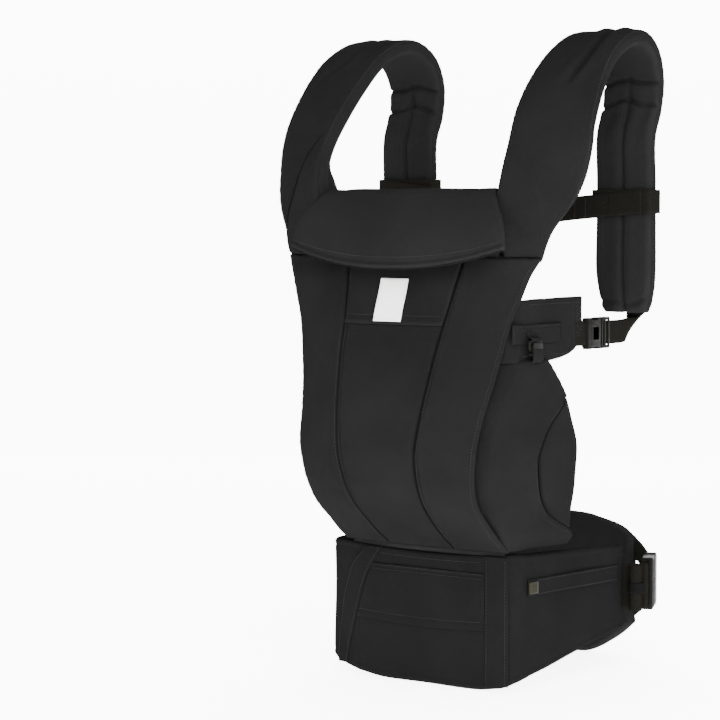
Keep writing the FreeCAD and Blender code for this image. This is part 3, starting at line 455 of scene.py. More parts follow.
def write_stitches():
    mats = {"thread": THREAD_PAINTED_HIGHLIGHT_M, "dark": DARK_THREAD_AND_SHADE_M, "label": LABEL_T}
    for (body, mat, slot), items in STITCHES.items():
        verts, faces, uvs = [], [], []
        for pts, n, w, r in items:
            base = len(verts)
            for k, q in enumerate(pts):
                rr = r * (0.55, 1.0, 0.55)[k]
                for ca, sa in ((1, 0), (0.3, 0.95), (-0.3, 0.95), (-1, 0)):
                    verts.append(q + w * rr * ca + n * rr * sa)
                    uvs.append((k * 1.1, ca))
            for k in range(2):
                for j in range(3):
                    a = base + k * 4 + j
                    faces.append((a, a + 1, a + 5, a + 4))
                faces.append((base + k * 4 + 3, base + k * 4, base + k * 4 + 4, base + k * 4 + 7))
            faces.append((base + 3, base + 2, base + 1, base))
            faces.append((base + 8, base + 9, base + 10, base + 11))
        finish_mesh("stitching_%s_%s_%s" % (mat, slot, body), np.array(verts), faces, uvs, [mats[mat]],
                    body=body, slot=slot)


def web(name, pts, width, t, mat=None, n=60, body=ROOT, replaces=(), slot="webbing", flat=None,
        nw=9, edges=True):
    """Flat webbing: rows of centre x, y, z and width direction x, y, z."""
    rows = spline(pts, n)
    c, w = rows[:, :3], unit(rows[:, 3:6])
    tan = unit(np.gradient(c, axis=0))
    nr = unit(np.cross(w, tan))
    f = np.linspace(-1, 1, nw)
    prof = t / 2 * np.where(np.abs(f) > 0.99, 0.45, 1.0) * np.where(np.abs(np.abs(f) - 0.8) < 0.12, 1.1, 1.0)
    mid = c[:, None, :] + w[:, None, :] * (f * width / 2)[None, :, None]
    o = mid + nr[:, None, :] * prof[None, :, None]
    i = mid - nr[:, None, :] * prof[None, :, None]
    verts, faces, uvs, _ = closed_grid(o, i)
    ob = finish_mesh(name, verts, faces, uvs, [mat or WEB_M], body=body, slot=slot, replaces=replaces)
    return ob, c, w, nr


def blocks(name, items, origin, ex, ey, ez, mat=None, body=ROOT, slot="plastic", replaces=()):
    """Moulded piece from bevelled blocks given in its own axes: (x0, x1, y0, y1, z0, z1, bevel)."""
    bm = bmesh.new()
    for x0, x1, y0, y1, z0, z1, bev in items:
        g = bmesh.ops.create_cube(bm, size=1.0)["verts"]
        for v in g:
            v.co = Vector(((x0 + x1) / 2 + v.co.x * (x1 - x0), (y0 + y1) / 2 + v.co.y * (y1 - y0),
                           (z0 + z1) / 2 + v.co.z * (z1 - z0)))
        ed = list({e for v in g for e in v.link_edges})
        bmesh.ops.bevel(bm, geom=ed, offset=min(bev, 0.45 * min(x1 - x0, y1 - y0, z1 - z0)),
                        segments=3, profile=0.5, affect="EDGES")
    o, ex, ey, ez = (np.asarray(a, float) for a in (origin, ex, ey, ez))
    verts = np.array([o + ex * v.co.x + ey * v.co.y + ez * v.co.z for v in bm.verts])
    bm.verts.index_update()
    faces = [tuple(v.index for v in f.verts) for f in bm.faces]
    uvs = verts[:, [0, 2]]
    bm.free()
    return finish_mesh(name, verts, faces, uvs, [mat or PLASTIC_M], body=body, slot=slot,
                       replaces=replaces)


def mir(g):
    g = np.array(g, float).copy()
    g[..., 0] *= -1
    return g[:, ::-1] if g.ndim == 3 else g


def side_of(s):
    return "right" if s > 0 else "left"


# ------------------------------------------------------------------ front shell
SHELL = np.array([
    (143, -121, 41.5, 105, -117), (151, -130, 42, 106, -124), (159, -142, 42.5, 105.5, -135),
    (170, -156, 43, 105, -147), (185, -173, 44, 106, -164), (200, -187, 45, 107, -177),
    (225, -201, 47, 110, -187), (255, -208, 49, 114, -190), (290, -204, 53, 118, -183),
    (325, -196, 57, 122.5, -170), (355, -188, 60, 126, -160), (383, -178, 63, 129, -150),
    (410, -169, 67, 135, -140), (432, -162, 70, 141, -133), (449, -156, 72.5, 150, -128.5),
    (456, -154, 73.4, 153, -127), (480, -146, 77, 158, -124), (514, -137, 81, 166, -122)], float)


SHELL_L = np.vstack([SHELL[SHELL[:, 0] < 300], np.array([
    (325, -196, 57, 124, -172.7), (355, -188, 60, 130, -166.5), (383, -178, 63, 136, -162.3),
    (410, -169, 67, 145, -157.5), (432, -162, 70, 153, -153), (449, -156, 72.5, 162, -146.5),
    (456, -154, 73.4, 164, -145.5), (480, -146, 77, 166, -143), (514, -137, 81, 168, -141)], float)])


def shell_at(z, s=1):
    T_ = SHELL if s > 0 else SHELL_L
    return [pchip(T_[:, 0], T_[:, k], z) for k in (1, 2, 3, 4)]


def centre_pt(f, z, lift=0.0):
    yc, wc, xe, ye = shell_at(z)
    ys = yc + 0.10 * (ye - yc)
    return np.stack([wc * f, yc + (ys - yc) * f * f - lift, z + 0 * f], axis=-1)


def side_pt(k, z, s=1):
    yc, wc, xe, ye = shell_at(z, s)
    ys = yc + 0.10 * (ye - yc)
    x = wc + (xe - wc) * k
    return np.stack([s * x, ys + (ye - ys) * k ** 1.7, z + 0 * k], axis=-1)


def seam_dip(depth, width):
    def fn(du, dv, lu, lv):
        e = np.minimum(dv, lv - dv)
        return -depth * np.exp(-(e / width) ** 2)
    return fn


zz = np.concatenate([np.linspace(146, 451.9, 112), np.linspace(452.3, 514, 24)])
ff = np.linspace(-1, 1, 61)
Z, F = np.meshgrid(zz, ff, indexing="ij")
g = centre_pt(F, Z)


def centre_bump(du, dv, lu, lv):
    e = np.minimum(dv, lv - dv)
    h = -0.9 * np.exp(-(e / 3.0) ** 2) + 0.5 * np.exp(-((e - 7) / 5.0) ** 2)
    pucker = 0.28 * np.sin(du * 2 * math.pi / 9.0 + np.sin(du / 17.0)) * np.exp(-e / 7.0)
    return h + pucker + ripple(g, 0.55, 90, 3)


puff("body_panel_centre", g, t=6.0, r=3.0, mats=[SHELL_M, LINING_M], bump=centre_bump, low=0.3,
     slot="shell_fabric", replaces=["body_panel_centre"], fill=0.35)

kk = grid_params(44)
Zs, K = np.meshgrid(zz, kk, indexing="ij")
for s in (1, -1):
    tag = side_of(s)
    # above the strap's seam the panel carries on only inside the strap's inner edge
    yc_, wc_, xe_, ye_ = shell_at(Zs, s)
    xin = np.interp(Zs, [452, 480, 514], [111.0, 107.5, 105.5])
    kin = (xin - wc_) / (xe_ - wc_)
    lim = np.where(Zs > 452.0, kin, 1.0)
    g2 = side_pt(K * lim, Zs, s)
    if s < 0:
        g2 = g2[:, ::-1]

    def side_bump(du, dv, lu, lv, g2=g2, s=s):
        seam = dv if s > 0 else lv - dv
        edge = lv - dv if s > 0 else dv
        h = -0.9 * np.exp(-(seam / 3.0) ** 2) + 0.9 * np.exp(-((seam - 6) / 4.5) ** 2)
        h += 0.22 * np.sin(du * 2 * math.pi / 8.0 + np.sin(du / 13.0)) * np.exp(-seam / 6.0)
        h += 0.25 * np.sin(du * 2 * math.pi / 11.0) * np.exp(-edge / 5.0)
        return h + ripple(g2, 0.6, 80, 11 + s)
    puff("body_panel_side_" + tag, g2, t=6.0, r=4.0, mats=[SHELL_M, LINING_M], bump=side_bump,
         low=0.3, slot="shell_fabric", replaces=["body_panel_side_" + tag], fill=0.4)
    zsm = np.linspace(148, 508, 60)
    sm = side_pt(np.full_like(zsm, 0.004), zsm, s)
    # a thin near-black tube laid along the seam line: painted shade in the seam's groove
    tube("panel_seam_" + tag, sm + np.array([0, -0.35, 0]), 0.75 if s > 0 else 0.4, DARK_THREAD_AND_SHADE_M, n=200)
    # bound seam allowance on the inner face, closing the joint from behind
    tube("panel_seam_tape_" + tag, sm + np.array([0, 3.4, 0]), 2.0, LINING_M, n=160)
    # topstitching beside the seam and along the free edge
    for kx, zmax in ((0.05, 470), (0.945, 444)):
        zl = np.linspace(150, zmax, 240)
        pth = side_pt(np.full_like(zl, kx), zl, s)
        nn = np.gradient(pth, axis=0)
        nrm = unit(np.cross(nn, np.array([s, 0.35 * s * 0, 0])[None, :] * 1.0))
        nrm = np.where(nrm[:, 1:2] > 0, -nrm, nrm)
        stitch(pth + nrm * 0.55, nrm)

# ------------------------------------------------------------------ upper overlay and label
zo = np.linspace(383, 512, 50)
fo = np.linspace(-1, 1, 49)
Zo, Fo = np.meshgrid(zo, fo, indexing="ij")
go = centre_pt(Fo, Zo, lift=3.0)


def over_bump(du, dv, lu, lv):
    hem = -0.5 * np.exp(-((du - 9) / 1.2) ** 2) + 0.5 * np.exp(-(du / 5.0) ** 2)
    return hem + ripple(go, 0.3, 60, 21)


ov, ovo, _ = puff("upper_overlay", go, t=2.5, r=1.6, mats=[SHELL_M, LINING_M], bump=over_bump,
                  slot="shell_fabric", replaces=["upper_overlay"], fill=0.1)
for zc in (392.0,):
    fl = np.linspace(-0.97, 0.97, 120)
    pth = centre_pt(fl, np.full_like(fl, zc), lift=3.35)
    stitch(pth, np.tile([0, -1, 0.3], (len(pth), 1)))

lean = math.atan2(178 - 162, 432 - 383)
lu_ = np.array([0, math.sin(lean), math.cos(lean)])
lo_ = np.array([0, -math.cos(lean), math.sin(lean)])
lc = np.array([-5.0, float(shell_at(407.5)[0]) - 3.0, 407.5]) + lo_ * 0.9
a_, b_ = np.meshgrid(np.linspace(-23, 23, 40), np.linspace(-17.5, 17.5, 32), indexing="ij")
gl = lc + a_[..., None] * lu_ + b_[..., None] * np.array([1.0, 0, 0])
gl = gl + lo_ * (0.25 * np.sin(a_ / 6.0) * np.cos(b_ / 5.0))[..., None]
lab = finish_mesh("label_patch", *closed_grid(gl + lo_ * 0.5, gl - lo_ * 0.5)[:3], [LABEL_M],
                  slot="label", replaces=["label_patch"])
bd = [(-21.3, -15.8), (21.3, -15.8), (21.3, 15.8), (-21.3, 15.8), (-21.3, -15.8)]
for (a0, b0), (a1, b1) in zip(bd, bd[1:]):
    q = np.linspace(0, 1, 20)[:, None]
    pth = lc + lo_ * 0.65 + ((1 - q) * a0 + q * a1) * lu_ + ((1 - q) * b0 + q * b1) * np.array([1.0, 0, 0])
    stitch(pth, np.tile(lo_, (20, 1)), mat="label", pitch=2.2, length=1.5, r=0.22, slot="label")

# ------------------------------------------------------------------ folded head support
FLAP = np.array([
    (0.0, 106, -141, -140, 522.5, 522.5), (0.12, 110, -150, -149, 518, 519),
    (0.34, 119, -164, -160, 504, 508), (0.58, 129, -176, -168, 485, 494),
    (0.82, 135.5, -185, -173, 463, 478), (1.0, 138, -190, -176, 441, 462)], float)
uu = np.linspace(0, 1, 70)
vv = grid_params(95) * 2 - 1
U, VV = np.meshgrid(uu, vv, indexing="ij")
W_, YC, YT, ZC, ZT = (pchip(FLAP[:, 0], FLAP[:, k], U) for k in range(1, 6))
gf = np.stack([W_ * VV, YC + (YT - YC) * VV ** 2, ZC + (ZT - ZC) * np.abs(VV) ** 2.2], axis=-1)


def flap_bump(du, dv, lu, lv):
    lip = lu - du
    h = -1.5 * np.exp(-((lip - 6) / 1.2) ** 2) + 1.1 * np.exp(-(lip / 4.0) ** 2)
    e = np.minimum(dv, lv - dv)
    h += 0.35 * np.sin(dv * 2 * math.pi / 12.0 + 2 * np.sin(dv / 31.0)) * np.exp(-lip / 8.0)
    return h + ripple(gf, 0.8, 120, 31)


# the head support uses the lighter flap cloth, which carries painted light
fl_ob, fo_, fi_ = puff("head_support", gf[::-1], t=6.0, r=3.6, mats=[FLAP_PAINTED_LIGHT_M, LINING_M],
                       bump=lambda du, dv, lu, lv: flap_bump(lu - du, dv, lu, lv)[::1] if False else
                       flap_bump(lu - du, dv, lu, lv), crown=1.6, low=0.25, body="head_support",
                       slot="shell_fabric", replaces=["head_support"], fill=0.5)
lipk = 6
pl = fo_[lipk, 4:-4]
stitch(pl + normals(fo_)[lipk, 4:-4] * 0.15, normals(fo_)[lipk, 4:-4], body="head_support")
tube("head_support_piping", (fo_[0, 1:-1] + fi_[0, 1:-1])[::6] / 2, 1.5, BIND_M, n=120,
     body="head_support")

# the fold that joins the head support to the panel's top edge
ang = np.linspace(math.radians(-70), math.radians(215), 26)
xs = np.linspace(-104.0, 104.0, 90)
A_, X_ = np.meshgrid(ang, xs, indexing="ij")
yb = -140.0 + 4.0 * (X_ / 105.5) ** 2
rad = 5.2 - 3.4 * (np.abs(X_) / 105.5) ** 8
fold_o = np.stack([X_, yb + 1.0 + rad * 1.05 * np.cos(A_), 517.5 + rad * np.sin(A_)], -1)
ctr = np.stack([X_, yb + 1.0, np.full_like(X_, 517.5)], -1)
fold_n = unit(fold_o - ctr)
fold_o = fold_o + fold_n * ripple(fold_o, 0.25, 70, 33)[..., None]
vf, fcs, uvf, _ = closed_grid(fold_o, fold_o - fold_n * 1.6)
# the fold uses the lighter flap cloth, which carries painted light
fold = finish_mesh("head_support_fold_cloth", vf, fcs, uvf, [FLAP_PAINTED_LIGHT_M], body=None, slot="shell_fabric")
tuple(out((0, -131.0, 517.0)))
tuple(out((0, -143.0, 520.0)))
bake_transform(fold)

# ------------------------------------------------------------------ shoulder straps
STRAP = np.array([
    (131.3, -131.5, 450.5, 38.6, 27.0, 0.0), (131.5, -130.5, 454.5, 39.5, 27.0, 0.0),
    (134.5, -129.0, 477.0, 50.0, 26.0, 0.0),
    (149.0, -129.0, 511.0, 74.0, 25.0, 0.0), (157.0, -126.0, 540.0, 81.0, 24.0, 0.0),
    (160.0, -118.0, 566.0, 83.0, 22.0, 0.0), (157.0, -101.0, 599.0, 83.0, 18.0, 0.0),
    (153.0, -77.0, 631.0, 82.0, 13.0, 0.0), (150.0, -46.0, 660.0, 80.0, 8.0, 0.0),
    (148.0, -12.0, 676.5, 77.0, 4.0, 0.0), (147.0, 19.0, 677.5, 74.0, 2.0, 0.0),
    (145.0, 46.0, 662.0, 71.0, 0.0, 0.0), (143.5, 58.0, 636.0, 69.0, 0.0, 0.0),
    (143.0, 55.0, 606.0, 68.0, 0.0, 0.0), (143.0, 44.0, 578.0, 68.0, 0.0, 0.0),
    (143.0, 44.0, 530.0, 68.0, 0.0, 0.0), (143.0, 44.0, 480.0, 68.0, 0.0, 0.0),
    (143.0, 44.0, 436.0, 68.0, 0.0, 0.0), (143.0, 46.0, 412.0, 62.0, 0.0, 0.0),
    (142.0, 49.0, 392.0, 52.0, 0.0, 0.0)], float)
STRAP_L = np.vstack([np.array([
    (143.2, -143.2, 450.5, 38.6, 10.0, 0.0), (143.5, -142.5, 454.5, 39.5, 10.0, 0.0),
    (149.0, -138.0, 477.0, 50.0, 14.0, 0.0), (155.0, -133.0, 511.0, 74.0, 20.0, 0.0),
    (159.0, -127.0, 540.0, 81.0, 23.0, 0.0)], float), STRAP[5:]])
NS = 260
STRAP_OUT = {}
for side in (1, -1):
    rows = spline(STRAP if side > 0 else STRAP_L, NS)
    sc = rows[:, :3]
    sw_, syaw, sskew = rows[:, 3], np.radians(rows[:, 4]), rows[:, 5]
    stan = unit(np.gradient(sc, axis=0))
    swd = np.stack([np.cos(syaw), np.sin(syaw), 0 * syaw], axis=1)
    snr = unit(np.cross(swd, stan))
    if snr[NS // 2, 2] < 0:
        snr = -snr
    slen = np.concatenate([[0], np.cumsum(np.linalg.norm(np.diff(sc, axis=0), axis=1))])


    def strap_grid(offset_fn):
        fs = np.linspace(-1, 1, 49)
        fs = np.sign(fs) * np.abs(fs) ** 0.8
        base = sc[:, None, :] + swd[:, None, :] * (fs[None, :, None] * sw_[:, None, None] / 2)
        base[..., 2] -= sskew[:, None] * fs[None, :]
        lean_in = np.clip(slen / 40.0, 0, 1) * np.clip((250.0 - slen) / 90.0, 0, 1)
        lean_out = np.clip((slen - 90.0) / 50.0, 0, 1) * np.clip((290.0 - slen) / 60.0, 0, 1)
        grow = np.where(fs[None, :] < 0, 6.5 * lean_in[:, None], (7.0 if side < 0 else -5.0) * lean_out[:, None])
        base = base + swd[:, None, :] * (grow * fs[None, :])[..., None]
        th = offset_fn(fs)
        return fs, base, th


    fs, sbase, _ = strap_grid(lambda f: f)
    edge_d = (1 - np.abs(fs))[None, :] * sw_[:, None] / 2
    prof = 0.40 + 0.60 * np.sqrt(np.clip(1 - (1 - np.clip(edge_d / 6.5, 0, 1)) ** 2, 0, 1))
    endp = np.clip(np.minimum(slen + 6, slen[-1] - slen + 1.0) / 8.0, 0.15, 1) ** 0.5
    half_t = 8.6 * prof * endp[:, None]
    SL = slen[:, None]
    z_of = sc[:, 2]
    rear = (sc[:, 1] > 20)
    d_edge = fs[None, :] * sw_[:, None] / 2


    def len_at(z):
        """Length along the strap at which its rear run passes height z."""
        k = np.where(rear)[0]
        return slen[k[np.argmin(np.abs(z_of[k] - z))]]


    # front base: the padding starts flush with the panel and swells upward
    swell = np.clip(SL / 46.0, 0, 1) ** 0.55
    # lining side: a centre seam down the rear run, and two quilting creases near the top
    on_rear = np.clip((SL - len_at(650)) / 30.0, 0, 1)
    seam_c = 3.4 * np.exp(-(d_edge / 1.7) ** 2) - 1.0 * np.exp(-((np.abs(d_edge) - 9) / 6.5) ** 2)
    lin = seam_c * on_rear
    crease = np.zeros_like(SL * fs[None, :])
    for zq, tilt, dp in ((632, 7.0, 4.2), (606, 9.0, 4.4), (406, -6.0, 2.6)):
        line = len_at(zq) - tilt * (1 - np.abs(fs)[None, :]) + 1.5 * np.sin(fs[None, :] * 5.0)
        crease = crease + dp * np.exp(-((SL - line) / 2.1) ** 2) - 1.1 * np.exp(-((SL - line - 8) / 6.0) ** 2)
    # dragged wrinkles run off the creases
    drag = 0.9 * np.sin(d_edge / 3.2 + SL / 14.0) * np.exp(-((SL - len_at(600)) / 34.0) ** 2)
    ripo = ripple(sbase, 0.9, 105, 41)
    top_i = int(np.argmax(sc[:, 2]))
    # outer face: the seam where the front and rear lengths of padding meet over the shoulder
    if side > 0:
        gp_, gdeep = [(185, -0.02), (198, 0.08), (214, 0.22), (232, 0.33), (258, 0.34), (285, 0.25), (312, 0.12)], 6.0
    else:
        gp_, gdeep = [(190, 0.62), (205, 0.48), (229, 0.12), (255, 0.02), (280, 0.12), (302, 0.30), (315, 0.4)], 3.4
    gp_ = np.array(gp_)
    gx = (fs[None, :] - np.interp(SL, gp_[:, 0], gp_[:, 1])) * sw_[:, None] / 2
    gfade = np.clip((SL - gp_[0, 0]) / 22.0, 0, 1) * np.clip((gp_[-1, 0] + 14 - SL) / 22.0, 0, 1)
    pinch = (gdeep * np.exp(-(gx / 2.4) ** 2) - 0.42 * gdeep * np.exp(-((np.abs(gx) - 10.5) / 7.0) ** 2)) * gfade
    edge_pucker = 0.3 * np.sin(SL * 2 * math.pi / 10.0 + 1.5 * np.sin(SL / 23.0)) * np.exp(-edge_d / 8.0)
    stitch_dip = 0.55 * np.exp(-((edge_d - 5.5) / 1.1) ** 2)
    s_out = sbase + snr[:, None, :] * (half_t * (0.25 + 0.75 * swell) - pinch + ripo * 0.6 + edge_pucker - stitch_dip)[..., None]
    s_in = sbase - snr[:, None, :] * (half_t - lin - crease + drag * 0.5 + ripo * 0.4)[..., None]
    for s in (side,):
        tag = side_of(s)
        o, i = (s_out, s_in) if s > 0 else (mir(s_out), mir(s_in))
        v, f, uvx, tg = closed_grid(o, i)
        ob = finish_mesh("shoulder_strap_" + tag, v, f, uvx, [SHELL_M, LINING_M], tg,
                         slot="shell_fabric", replaces=["shoulder_strap_" + tag])
        for fe in (-0.955, 0.955):
            j = int(np.argmin(np.abs(fs - fe)))
            pth = s_out[8:-8, j] + snr[8:-8] * 0.1
            nn = snr[8:-8]
            if s < 0:
                pth, nn = mir(pth), mir(nn)
            stitch(pth, nn)
    STRAP_OUT[side] = (s_out, fs, z_of, top_i, snr)

# gussets: sails from the panel's corner over the strap's inner front, with bound edges
for s in (1, -1):
    tag = side_of(s)
    so, fs_, zo_, ti, sn_ = STRAP_OUT[s]
    zq = 451.5 + (597 - 451.5) * np.linspace(0, 1, 60)
    FREE = np.array([(450, 101, -135), (468, 101.5, -134), (482, 104, -131), (495, 106.5, -129), (513, 108, -129), (530, 112.5, -131),
                     (545, 117.5, -132.5), (560, 119.5, -128), (578, 120.5, -119.5), (597, 118.5, -107.5)])
    SLIT = np.array([(450, 0.97), (468, 0.86), (482, 0.62), (500, 0.3), (518, 0.0), (540, -0.25), (558, -0.47),
                     (580, -0.78), (597, -0.97)])
    cols_ = 40
    gg = np.zeros((len(zq), cols_, 3))
    for r_, z_ in enumerate(zq):
        fi = np.interp(z_, zo_[:ti], np.arange(ti))
        i0, fr = int(fi), fi - int(fi)
        ln_ = so[i0] * (1 - fr) + so[i0 + 1] * fr
        nn_ = sn_[i0]
        fz = float(pchip(SLIT[:, 0], SLIT[:, 1], z_))
        ff_ = np.linspace(-0.97, max(fz, -0.93), 14)
        face = np.stack([np.interp(ff_, fs_, ln_[:, c]) for c in range(3)], -1) + nn_ * (0.55 if s > 0 else 2.6)
        edge_pt = face[0] + np.array([-1.2, 1.5, 0.0])
        fx = np.array([float(pchip(FREE[:, 0], FREE[:, c], z_)) for c in (1, 2)] + [z_])
        path_ = np.vstack([fx, 0.5 * (fx + edge_pt) + np.array([-0.8, -0.8, 0]), edge_pt, face])
        path_[:, 2] = z_
        gg[r_] = spline(path_, cols_)
    if s < 0:
        gg = mir(gg)
    ob, og_, _ = puff("strap_gusset_" + tag, gg, t=1.6 if s > 0 else 2.8, r=1.0 if s > 0 else 1.5, mats=[SHELL_M, LINING_M],
                      slot="shell_fabric", replaces=["strap_gusset_" + tag], fill=0.1)
    tube("gusset_binding_free_" + tag, og_[1:-1, 0 if s > 0 else -1][::4], 1.2, BIND_M, n=60)
    if s < 0:
        # a near-black tube along the slit: painted shade beside the raised sail
        tube("gusset_slit_painted_shade_" + tag, og_[1:-1, 0][::4] + np.array([-0.6, 0.5, 0]), 1.5, DARK_THREAD_AND_SHADE_M, n=70)

# ------------------------------------------------------------------ leg openings
LEG = np.array([
    (148.0, 100.5, -106, 108.5, -118, 118, -24, 1), (150.5, 100.5, -108, 108.5, -120, 120, -27, 1),
    (160, 100.5, -120.3, 110.5, -130, 134, -40, 4),
    (171, 100.5, -132.5, 112, -140, 141, -56, 7), (190, 102, -154.5, 113, -152, 144, -58, 7),
    (220, 105.5, -174.2, 117, -168, 149, -57, 7), (255, 109.5, -181.2, 121, -173, 150, -58, 7),
    (290, 114, -175.5, 126, -165, 147, -63, 7), (320, 118, -164.5, 130, -152, 143, -74, 5),
    (344.5, 120.5, -156.5, 134, -140, 139.5, -91, 1), (349, 121, -155.5, 134.6, -138, 139, -97, 0.5)], float)
SEAM = np.array([(171, 0.92), (178, 0.76), (190, 0.60), (211, 0.51), (245, 0.485), (268, 0.545),
                 (285, 0.656), (300, 0.85), (308, 0.93)], float)


def leg_pt(z, k, s=1):
    """k from -0.2, sewn behind the side panel, over 0 at the front corner to 1 at the rear."""
    xt, yt, xf, yf, xr, yr, bu = (pchip(LEG[:, 0], LEG[:, c], z) for c in range(1, 8))
    _, _, xe, ye = shell_at(z, s)
    xt, yt = xe - 13.0, ye + 8.5
    kk_ = np.clip(k, 0, 1)
    x = xf + (xr - xf) * kk_ + bu * np.sin(np.pi * kk_)
    y = yf + (yr - yf) * kk_
    t = np.clip(-k / 0.2, 0, 1)
    e = 0.10
    blendk = np.clip((e - np.abs(k)) / e, 0, 1) ** 2 * 0.18
    xx = x + (xt - x) * t
    yy = y + (yt - y) * t
    return np.stack([xx - blendk * 6.0, yy + blendk * 2.0, z + 0 * k], -1)


def seam_k(z):
    return np.where((z > 308) | (z < 171), 1.0, pchip(SEAM[:, 0], SEAM[:, 1], np.clip(z, 171, 308)))


for s in (1, -1):
    tag = side_of(s)
    zl = 148 + (349 - 148) * np.linspace(0, 1, 96)
    Zl, Kl = np.meshgrid(zl, grid_params(56), indexing="ij")
    sk = np.where((Zl > 308) | (Zl < 171), 1.0, seam_k(Zl) + 0.004)
    gk = leg_pt(Zl, -0.2 + (sk + 0.2) * Kl, s)
    # the top edge falls from the hook to the side panel
    fall = 0.8 * np.clip((0.35 - Kl) / 0.35, 0, 1) * np.clip((Zl - 300) / 49, 0, 1)
    gk[..., 2] -= fall
    gk = gk if s > 0 else mir(gk)

    def leg_bump(du, dv, lu, lv, gk=gk, s=s):
        e = lv - dv if s > 0 else dv
        return (ripple(gk, 1.0, 60, 51) + 0.4 * np.sin(du * 2 * math.pi / 8.5 + np.sin(du / 9)) *
                np.exp(-e / 6.0) + 0.8 * np.exp(-((e - 6) / 4.0) ** 2))
    ob, lo1, _ = puff("leg_panel_" + tag, gk, t=9.0, r=4.5, mats=[SHELL_M, LINING_M], bump=leg_bump,
                      crown=2.2, slot="shell_fabric", replaces=["leg_panel_" + tag], fill=0.7)
    zc = 170 + (309 - 170) * np.linspace(0, 1, 60)
    Zc, Kc = np.meshgrid(zc, grid_params(28), indexing="ij")
    s0 = np.minimum(seam_k(Zc) - 0.004, 0.985)
    gc = leg_pt(Zc, s0 + (1 - s0) * Kc)
    gc = gc if s > 0 else mir(gc)

    def cuff_bump(du, dv, lu, lv, gc=gc):
        return ripple(gc, 0.7, 45, 61)
    puff("leg_cuff_" + tag, gc, t=9.0, r=4.0, mats=[SHELL_M, LINING_M], bump=cuff_bump, crown=1.6,
         slot="shell_fabric", replaces=["leg_cuff_" + tag], fill=0.6)
    zp = np.linspace(171, 308, 40)
    pp = leg_pt(zp, seam_k(zp) + 0.004)
    pp = pp if s > 0 else mir(pp)
    outn = np.array([s * 1.0, 0.1, 0])
    tube("leg_piping_" + tag, pp + outn * 0.2, 1.25, BIND_M, n=110)
    st = leg_pt(zp, seam_k(zp) - 0.045)
    st = st if s > 0 else mir(st)
    stitch(st + outn * 1.7, np.tile(outn, (len(st), 1)))

